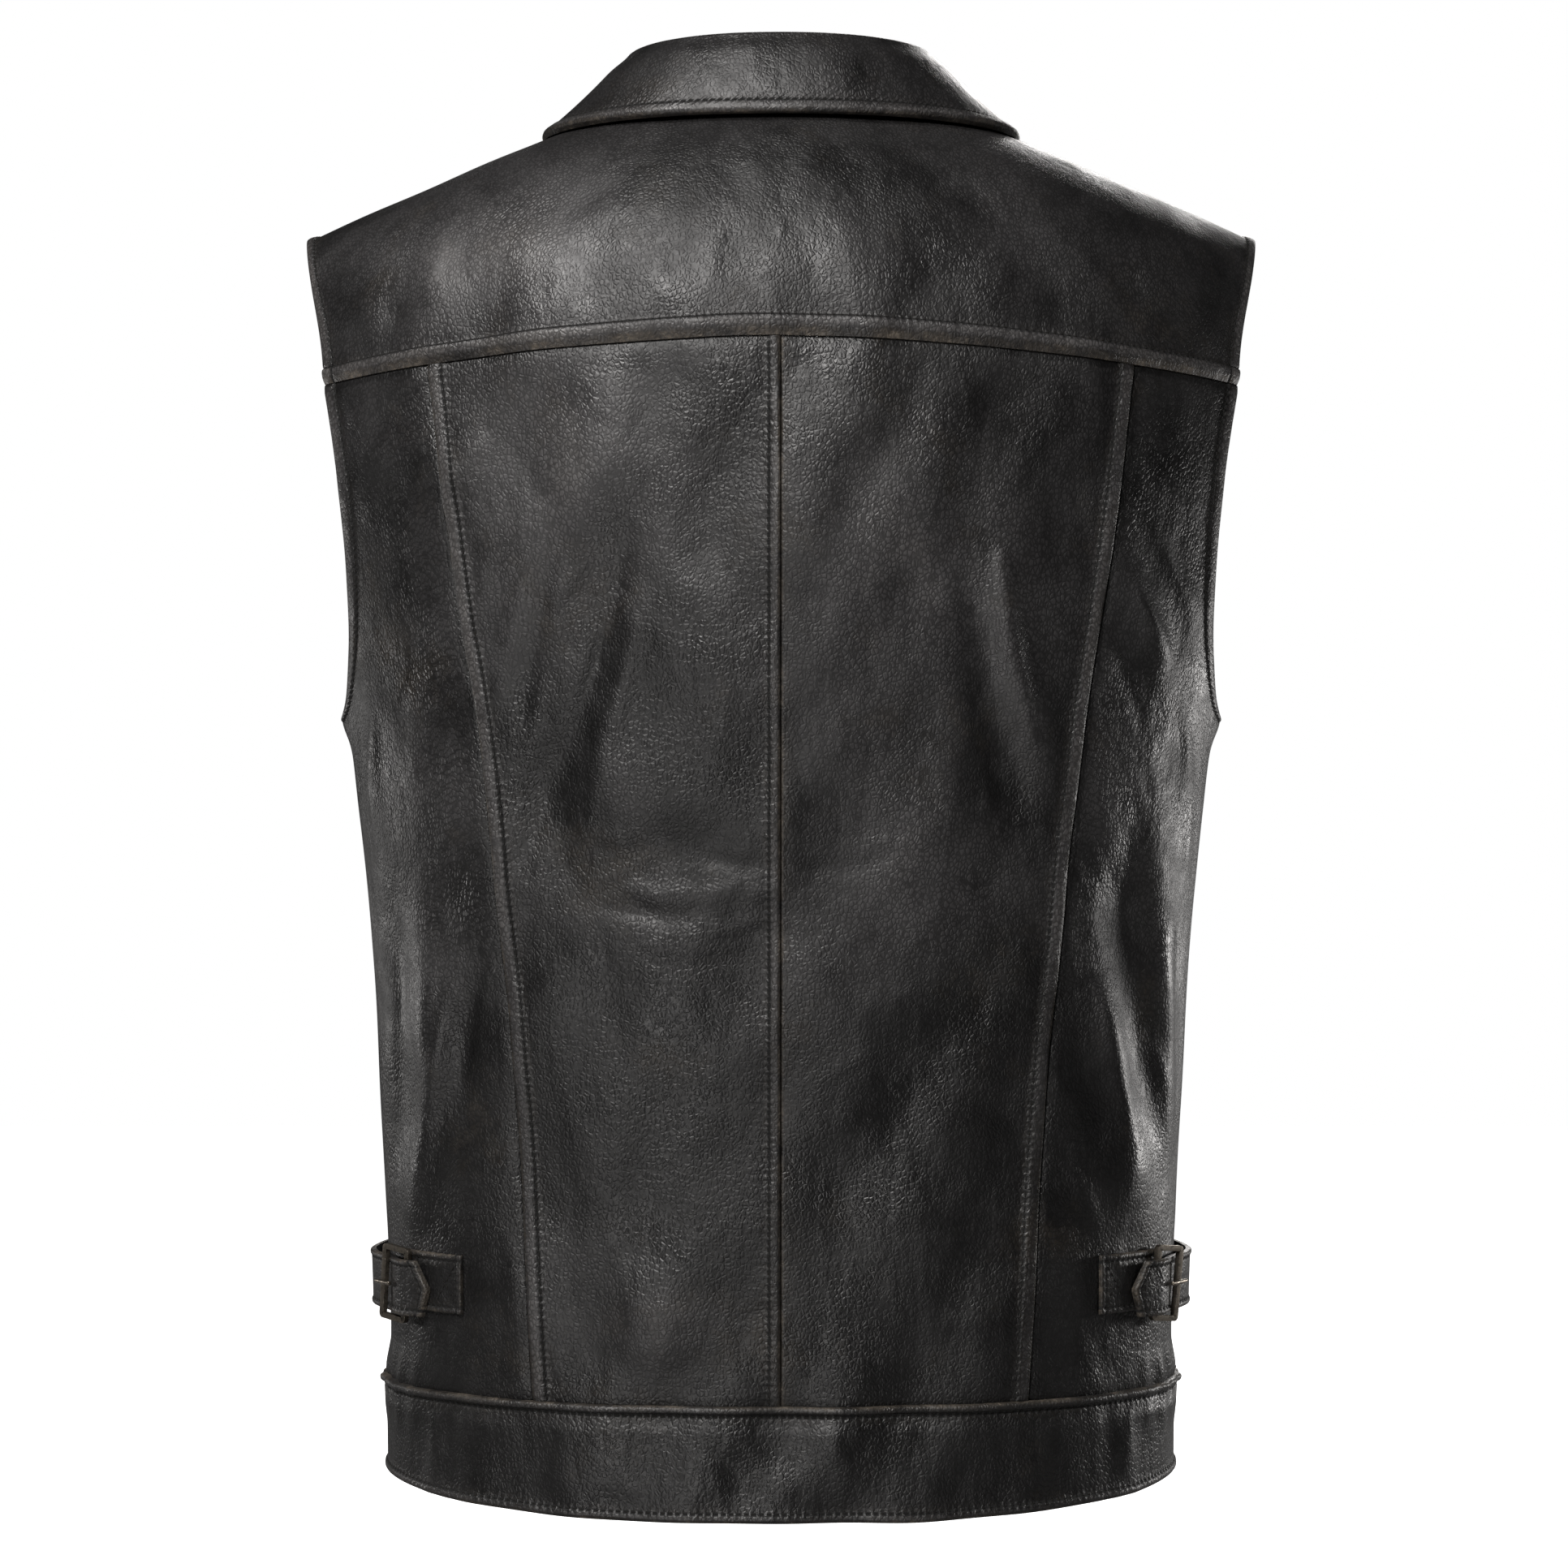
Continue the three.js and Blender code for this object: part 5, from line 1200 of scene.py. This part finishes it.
def leafPoint(turn, v):
    turn, v = np.broadcast_arrays(np.asarray(turn, float), np.asarray(v, float))
    over = np.clip(-v / collar["rollShare"], 0, 1) * math.pi
    w = np.clip(v, 0, 1.02)
    top, edge = foldPoint(turn), leafEdgePoint(turn)
    p = top + (edge - top) * w[..., None]
    out = unit(np.stack([p[..., 0], p[..., 1], 0 * w + collar["spring"]], axis=-1))
    behind = np.maximum(0, np.cos(turn)) ** 2
    bulge = collar["sideBulge"] + (collar["bulge"] - collar["sideBulge"]) * behind
    p = p + out * (bulge * 4 * w * (1 - w))[..., None]
    lapped = np.where((p[..., 1] > 0) & (p[..., 0] < opening["overlap"] + opening["past"]),
                      overlapRise(p[..., 0], opening["lift"]), 0)
    cleared = clearOfForm(p, leather["leafThick"] / 2 + collar["gap"] + lapped)
    p = p + (cleared - p) * smooth(w / collar["clearFrom"])[..., None]
    p = p - np.array([0, 0, 1]) * (collar["lowered"] * smooth(1 - w / collar["loweredTo"]))[..., None]
    down = unit(edge - top)
    ringway = unit(foldPoint(turn + 1e-3) - foldPoint(turn - 1e-3))
    outward = unit(np.cross(down, ringway))
    r = collar["roll"]
    rolled = outward * (r * (np.cos(over) - 1))[..., None] - down * (r * np.sin(over))[..., None]
    return p + rolled


def standPoint(turn, v):
    turn, v = np.broadcast_arrays(np.asarray(turn, float), np.asarray(v, float))
    x, y = ringPoint(neckRing, turn)
    foot = yokePoint(x, yokeTurn(x, y))
    top = leafPoint(turn, -np.full_like(v, collar["rollShare"]))
    return foot + (top - foot) * (collar["standFrom"] + collar["standReach"] * v)[..., None]


def collarSheet(pointAt, outward, thick, edges, low, high, mesh, lining):
    end = math.radians(collar["endTurn"])
    return newSheet(pointAt, lambda u, v: (end * (2 * u - 1), low + (high - low) * v), edges, thick=thick,
                    middle=True, still=True, steps=(2e-3, 4e-3), outward=outward, mesh=mesh, lining=lining)


# Side adjusters, by distance along the body from the side seam, towards the back
tab = {
    "z": -511.5, "patchHeight": 27, "patchThick": 1.4, "patchFrom": 50, "patchTo": 97, "sewn": -45, "tip": 78,
    "strapZ": -515, "strapHeight": 25.5, "strapThick": 2.2, "slantTop": -7, "slantLow": -3.5,
    "pointFrom": 0.86, "pointShare": 0.14,
}
buckle = {
    "z": -514, "height": 35, "length": 18, "wire": 2.6, "at": 54.5, "low": 3.5, "high": 7.8, "clear": 1.15,
    "lean": 6, "corner": 2.2,
}
prong = {"radius": 1.1, "lift": 1, "start": 4, "past": 2, "drawnFrom": 0.2, "drawnIn": 0.72}
barReach = (buckle["length"] - buckle["wire"]) / 2
frontBar, backBar = buckle["at"] - barReach, buckle["at"] + barReach
strapPath = {
    "z": np.array([tab["sewn"], tab["sewn"] + 14, 8, 24, frontBar, backBar, tab["tip"]]),
    "height": np.array([
        0.4, 0.4, 5.4, 5.4,
        buckle["high"] - buckle["wire"] / 2 - buckle["clear"] - tab["strapThick"],
        buckle["low"] + buckle["wire"] / 2 + buckle["clear"],
        leather["layGap"] + tab["patchThick"] + leather["seamGap"],
    ]),
}
strapEdges = {way: "strap" for way in ("left", "right", "bottom", "top")}
patchEdges = {way: "strap" for way in ("right", "bottom", "top")}


def adjusterSheet(side, coordinates, edges, thick, lift):
    def pointAt(along, z):
        return bodyPoint(sideAngle(side, along, tab["z"]), z)
    return newSheet(pointAt, coordinates, edges, thick=thick, still=True, steps=(0.5, 0.5), outward=-side,
                    mesh=1.6, lift=lambda p, a, b: lift(a) + thick)


def strapSheet(side):
    def coordinates(u, v):
        slant = np.where(v > 0.5, tab["slantTop"] * (2 * v - 1), tab["slantLow"] * (1 - 2 * v))
        along = tab["sewn"] + (tab["tip"] - tab["sewn"]) * u
        along = along + slant * smooth((u - tab["pointFrom"]) / tab["pointShare"])
        return along, tab["strapZ"] + tab["strapHeight"] * (v - 0.5)
    return adjusterSheet(side, coordinates, strapEdges, tab["strapThick"],
                         lambda a: column(strapPath, "height", a))


def patchSheet(side):
    def coordinates(u, v):
        along = tab["patchFrom"] + (tab["patchTo"] - tab["patchFrom"]) * u
        return along, tab["z"] + tab["patchHeight"] * (v - 0.5)
    return adjusterSheet(side, coordinates, patchEdges, tab["patchThick"], lambda a: leather["layGap"])


addSheet("yokeLeather", yokeSheet(), "back_yoke")
patchCross = {"from": 0.66, "across": 0.27, "low": 0.14, "high": 0.86}
for side, name in ((-1, "left"), (1, "right")):
    title = name.capitalize()
    addSheet("backCentre" + title, backCentre(side), "back_centre_" + name)
    addSheet("backSide" + title, backSide(side), "back_side_" + name)
    addSheet("front" + title, frontPanel(side), "front_" + name)
    addSheet("strap" + title, strapSheet(side), "strap_" + name)
    patch = patchSheet(side)
    addSheet("patch" + title, patch, "tab_patch_" + name)
    t = spread(0, 1, 200)
    rise = patchCross["high"] - patchCross["low"]
    stitchLine(patch, patchCross["from"] + patchCross["across"] * t, patchCross["low"] + rise * t)
    stitchLine(patch, patchCross["from"] + patchCross["across"] * t, patchCross["high"] - rise * t)


def bandEdge(side, towards):
    return lambda z: seamAngle(side, z, towards)


def bandCentre(side):
    return lambda z: side * (math.pi + np.arctan(opening["overlap"] / column(sections, "front", z)))


bandTurns = {"bottom": "bandHem", "top": "bandRoll"}
backTurns = {**bandTurns, "left": "seam", "right": "seam"}
addSheet("bandBack", bandSheet(bandEdge(-1, -1), bandEdge(1, -1), backTurns), "band_back")
bandTurns["right"] = "opening"
addSheet("bandFrontLeft", bandSheet(bandEdge(-1, 1), bandCentre(-1), bandTurns,
                                    lambda x: overlapRise(x, opening["bandLift"])), "band_front_left")
addSheet("bandFrontRight", bandSheet(bandEdge(1, 1), bandCentre(1), bandTurns), "band_front_right")
leafEdges = {"left": "leaf", "right": "leaf", "bottom": "fold", "top": "leaf"}
leaf = collarSheet(leafPoint, -1, leather["leafThick"], leafEdges, -collar["rollShare"], 1, 1.9, suede)
addSheet("collarLeaf", leaf, "collar_leaf")
standEdges = {"bottom": "none", "top": "none"}
addSheet("collarStand", collarSheet(standPoint, 1, leather["standThick"], standEdges, 0, 1, 3.0, shell),
         "collar_stand")


# One stitch, modelled once and copied along every row
bpy.ops.mesh.primitive_uv_sphere_add(segments=6, ring_count=4, radius=0.5)
pattern = bpy.context.active_object
shape = np.array([tuple(v.co) for v in pattern.data.vertices])
shapeFaces = [tuple(p.vertices) for p in pattern.data.polygons]
bpy.data.objects.remove(pattern)
local = shape[:, [2, 1, 0]] * np.array([stitch["length"], stitch["thick"], stitch["thick"]])
verts, faces = [], []
for at, ahead, up in stitchSpots:
    beside = np.cross(up, ahead)
    for k in range(len(at)):
        points = at[k] + local[:, :1] * ahead[k] + local[:, 1:2] * beside[k] + local[:, 2:] * up[k]
        start = len(verts)
        verts.extend(((points + up[k] * stitch["sunk"]) * mm).tolist())
        faces.extend([tuple(start + i for i in face) for face in shapeFaces])
stitching = newPiece("stitching", verts, faces)
stitching.data.materials.append(thread)
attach(stitching, "root")
print(f"stitches: {len(verts) // len(shape)}")


# Buckles: a flat ring with rounded corners, made lying at the origin and then seated
def buckleSeat(side):
    angle = sideAngle(side, float(buckle["at"]), tab["z"])
    p = bodyPoint(angle, buckle["z"])
    out = Vector(normalAt(bodyPoint, angle, buckle["z"]))
    up = Vector((0, 0, 1))
    back = (up.cross(out) * (-1 if side > 0 else 1)).normalized()
    slope = math.atan2(buckle["high"] - buckle["low"], buckle["length"] - buckle["wire"])
    tilt = Matrix.Rotation(-side * slope, 3, up)
    tipped, facing = tilt @ back, tilt @ out
    lean = Matrix.Rotation(-math.radians(buckle["lean"]), 3, facing)
    x, y = lean @ tipped, lean @ facing.cross(tipped)
    seat = Matrix((x, y, facing)).transposed().to_4x4()
    seat.translation = (Vector(p) + out * (buckle["low"] + buckle["high"]) / 2) * mm
    return seat


def active(piece):
    bpy.ops.object.select_all(action="DESELECT")
    piece.select_set(True)
    bpy.context.view_layer.objects.active = piece


def startEditing():
    bpy.ops.object.mode_set(mode="EDIT")
    bpy.ops.mesh.select_all(action="SELECT")


def endEditing(outwards=False):
    if outwards:
        bpy.ops.mesh.select_all(action="SELECT")
        bpy.ops.mesh.normals_make_consistent(inside=False)
    bpy.ops.object.mode_set(mode="OBJECT")


softened = {"limit": 30, "smooth": 40}


def bevelled(piece, width, segments):
    active(piece)
    bevel = piece.modifiers.new("softened", "BEVEL")
    bevel.width, bevel.segments, bevel.limit_method = width * mm, segments, "ANGLE"
    bevel.angle_limit = math.radians(softened["limit"])
    bpy.ops.object.modifier_apply(modifier=bevel.name)
    bpy.ops.object.shade_smooth_by_angle(angle=math.radians(softened["smooth"]))


def seatAlong(direction, at):  # stands a piece up along a direction, at a place in millimetres
    seat = direction.to_track_quat("Z", "Y").to_matrix().to_4x4()
    seat.translation = at * mm
    return seat


def placed(piece, seat, name, node, material):
    piece.name = piece.data.name = name
    piece.data.transform(seat)
    piece.matrix_world = Matrix.Identity(4)
    piece.data.materials.clear()
    piece.data.materials.append(material)
    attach(piece, "root")
    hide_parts(node)
    piece.select_set(False)


def addBuckle(side, name):
    bpy.ops.mesh.primitive_plane_add(size=1)
    ring = bpy.context.active_object
    ring.data.transform(Matrix.Diagonal((buckle["length"] * mm, buckle["height"] * mm, 1, 1)))
    startEditing()
    bpy.ops.mesh.bevel(offset=buckle["corner"] * mm, segments=5, affect="VERTICES")
    bpy.ops.mesh.select_all(action="SELECT")
    bpy.ops.mesh.inset(thickness=buckle["wire"] * mm, depth=0)
    bpy.ops.mesh.delete(type="ONLY_FACE")
    bpy.ops.mesh.select_all(action="SELECT")
    bpy.ops.mesh.extrude_region_move(TRANSFORM_OT_translate={"value": (0, 0, buckle["wire"] * mm)})
    endEditing(outwards=True)
    ring.data.transform(Matrix.Translation((0, 0, -buckle["wire"] * mm / 2)))
    bevelled(ring, 0.8, 4)
    placed(ring, buckleSeat(side), "buckle" + name.capitalize(), "buckle_" + name, buckleMetal)


def addProng(side, name):
    ends = []
    lift = prong["radius"] + prong["lift"]
    start = buckle["at"] + prong["start"]
    strapTop = float(column(strapPath, "height", start)) + tab["strapThick"]
    barTop = buckle["high"] + buckle["wire"] / 2
    for along, height in ((start, strapTop + lift), (frontBar - prong["past"], barTop + lift)):
        angle = sideAngle(side, float(along), tab["z"])
        p = bodyPoint(angle, buckle["z"])
        ends.append(Vector(p + unit(p * np.array([1, 1, 0])) * height))
    length = (ends[1] - ends[0]).length
    bpy.ops.mesh.primitive_cylinder_add(vertices=16, radius=prong["radius"] * mm, depth=length * mm)
    pin = bpy.context.active_object
    startEditing()
    bpy.ops.mesh.bisect(plane_co=(0, 0, length * mm * prong["drawnFrom"]), plane_no=(0, 0, 1))
    endEditing()
    for vertex in pin.data.vertices:  # drawn in towards its tip
        narrower = prong["drawnIn"] if vertex.co.z > length * mm * 2 * prong["drawnFrom"] else 1.0
        vertex.co.x, vertex.co.y = vertex.co.x * narrower, vertex.co.y * narrower
    bevelled(pin, 0.45, 3)
    seat = seatAlong((ends[1] - ends[0]).normalized(), (ends[0] + ends[1]) / 2)
    placed(pin, seat, "prong" + name.capitalize(), "buckle_prong_" + name, buckleMetal)


for side, name in ((-1, "left"), (1, "right")):
    addBuckle(side, name)
    addProng(side, name)

# Snap caps: a domed cap in a rolled rim, drawn up in steps of a rise and a narrowing
snap = {"radius": 7.5, "firstZ": -66, "step": 89, "count": 6, "bandZ": -588}
capSteps = [(0.9, 1), (0.5, 0.96), (0.25, 0.9), (-0.25, 0.93),
            (0.55, 0.9), (0.6, 0.78), (0.4, 0.6), (0.2, 0.5)]


def addSnap(number, z):
    height = frontHeight(float(upAtHeight(np.array(0.0), z, "front"))) if z > heights["chest"] else z
    p = frontPoint(-math.pi, height)
    out = Vector(normalAt(frontPoint, -math.pi, height))
    base = band["lift"] + opening["bandLift"] if z < heights["bandTop"] else opening["lift"]
    bpy.ops.mesh.primitive_circle_add(vertices=40, radius=snap["radius"] * mm, fill_type="NGON")
    cap = bpy.context.active_object
    startEditing()
    for rise, size in capSteps:
        bpy.ops.mesh.extrude_region_move(TRANSFORM_OT_translate={"value": (0, 0, rise * mm)})
        bpy.ops.transform.resize(value=(size, size, size))
    bpy.ops.mesh.poke()
    endEditing(outwards=True)
    bpy.ops.object.shade_smooth_by_angle(angle=math.radians(50))
    seat = seatAlong(out, Vector(p) + out * (base + leather["layGap"]))
    placed(cap, seat, f"snap{number}", f"snap_{number}", snapMetal)


for number in range(snap["count"]):
    addSnap(number + 1, snap["firstZ"] - number * snap["step"])
addSnap(snap["count"] + 1, snap["bandZ"])
print("metal ready")

# Camera at the photo's viewing angle: level with the middle of the back, straight behind
view = {"size": 1932, "focal": 4773, "distance": 1850, "x": 1.4, "z": -283, "sensor": 36}
cameraData = bpy.data.cameras.new("camera")
camera = bpy.data.objects.new("camera", cameraData)
bpy.context.scene.collection.objects.link(camera)
cameraData.sensor_width = view["sensor"]
cameraData.lens = view["sensor"] * view["focal"] / view["size"]
cameraData.clip_start, cameraData.clip_end = 0.05, 50
camera.location = Vector((view["x"], -view["distance"], view["z"])) * mm
camera.rotation_euler = (rightAngle, 0, 0)
bpy.context.scene.camera = camera
bpy.context.scene.view_settings.view_transform = "Standard"

# Soft studio light: where each lamp stands, where it points, its size in metres and its watts
lamps = {
    "above": ((-0.75, -1.0, 1.3), (-0.1, -0.05, -0.12), (0.6, 0.4), 18),
    "key": ((-0.62, -2.0, 0.98), (0, 0, -0.1), (0.5, 0.5), 45),
    "leftStrip": ((-1.05, 0.42, -0.38), (-0.15, 0, -0.38), (0.14, 0.34), 1.7),
    "rightStrip": ((1.05, 0.42, -0.42), (0.15, 0, -0.42), (0.14, 0.38), 4.4),
    "lowSheen": ((-0.5, -1.4, -0.74), (-0.05, 0, -0.52), (0.1, 0.1), 3.2),
    "ahead": ((0.45, 2.1, 0.75), (0, 0, -0.3), (1.2, 1.0), 40),
}
lampColour = (1.0, 0.975, 0.955)
for name, (at, to, size, watts) in lamps.items():
    light = bpy.data.lights.new(name, "AREA")
    light.shape, light.size, light.size_y = "RECTANGLE", *size
    light.energy, light.color = watts, lampColour
    lamp = bpy.data.objects.new(name, light)
    bpy.context.scene.collection.objects.link(lamp)
    lamp.location = at
    lamp.rotation_euler = (Vector(to) - Vector(at)).to_track_quat("-Z", "Z").to_euler()

# White all round for the camera, and a faint light from all round for the vest
surround = {
    "light": 0.028, "floorZ": -0.8, "floorSize": 8, "floorGlow": 0.95, "floorDark": (0.16, 0.16, 0.16, 1),
}
world = bpy.data.worlds.new("studio")
bpy.context.scene.world = world
world.use_nodes = True
background = world.node_tree.nodes["Background"]
cameraSees = makeNode(world, "ShaderNodeLightPath", "Is Camera Ray")
strength = makeNode(world, "ShaderNodeMapRange", 0, {
    "Value": cameraSees, "To Min": surround["light"], "To Max": 1.0})
plug(world, background.inputs["Strength"], strength)
plug(world, background.inputs["Color"], (1, 1, 1, 1))

bpy.ops.mesh.primitive_plane_add(size=surround["floorSize"], location=(0, 0, surround["floorZ"]))
floor = bpy.context.active_object
floor.name = "floor"
floorMaterial, floorShader, floorSpot = startMaterial("paleFloor")
floorClouds = cloudy(floorMaterial, floorSpot, 3.0)
floorTone = blendColour(floorMaterial, floorClouds, (0.86, 0.86, 0.86, 1), (0.9, 0.9, 0.9, 1))
seen = makeNode(floorMaterial, "ShaderNodeLightPath", "Is Camera Ray")
for socket, value in {
    "Roughness": 0.8, "Emission Color": (1, 1, 1, 1),
    "Emission Strength": calc(floorMaterial, "MULTIPLY", seen, surround["floorGlow"]),
    "Base Color": blendColour(floorMaterial, seen, surround["floorDark"], floorTone),
}.items():
    plug(floorMaterial, floorShader.inputs[socket], value)
floor.data.materials.append(floorMaterial)
bpy.ops.object.select_all(action="DESELECT")
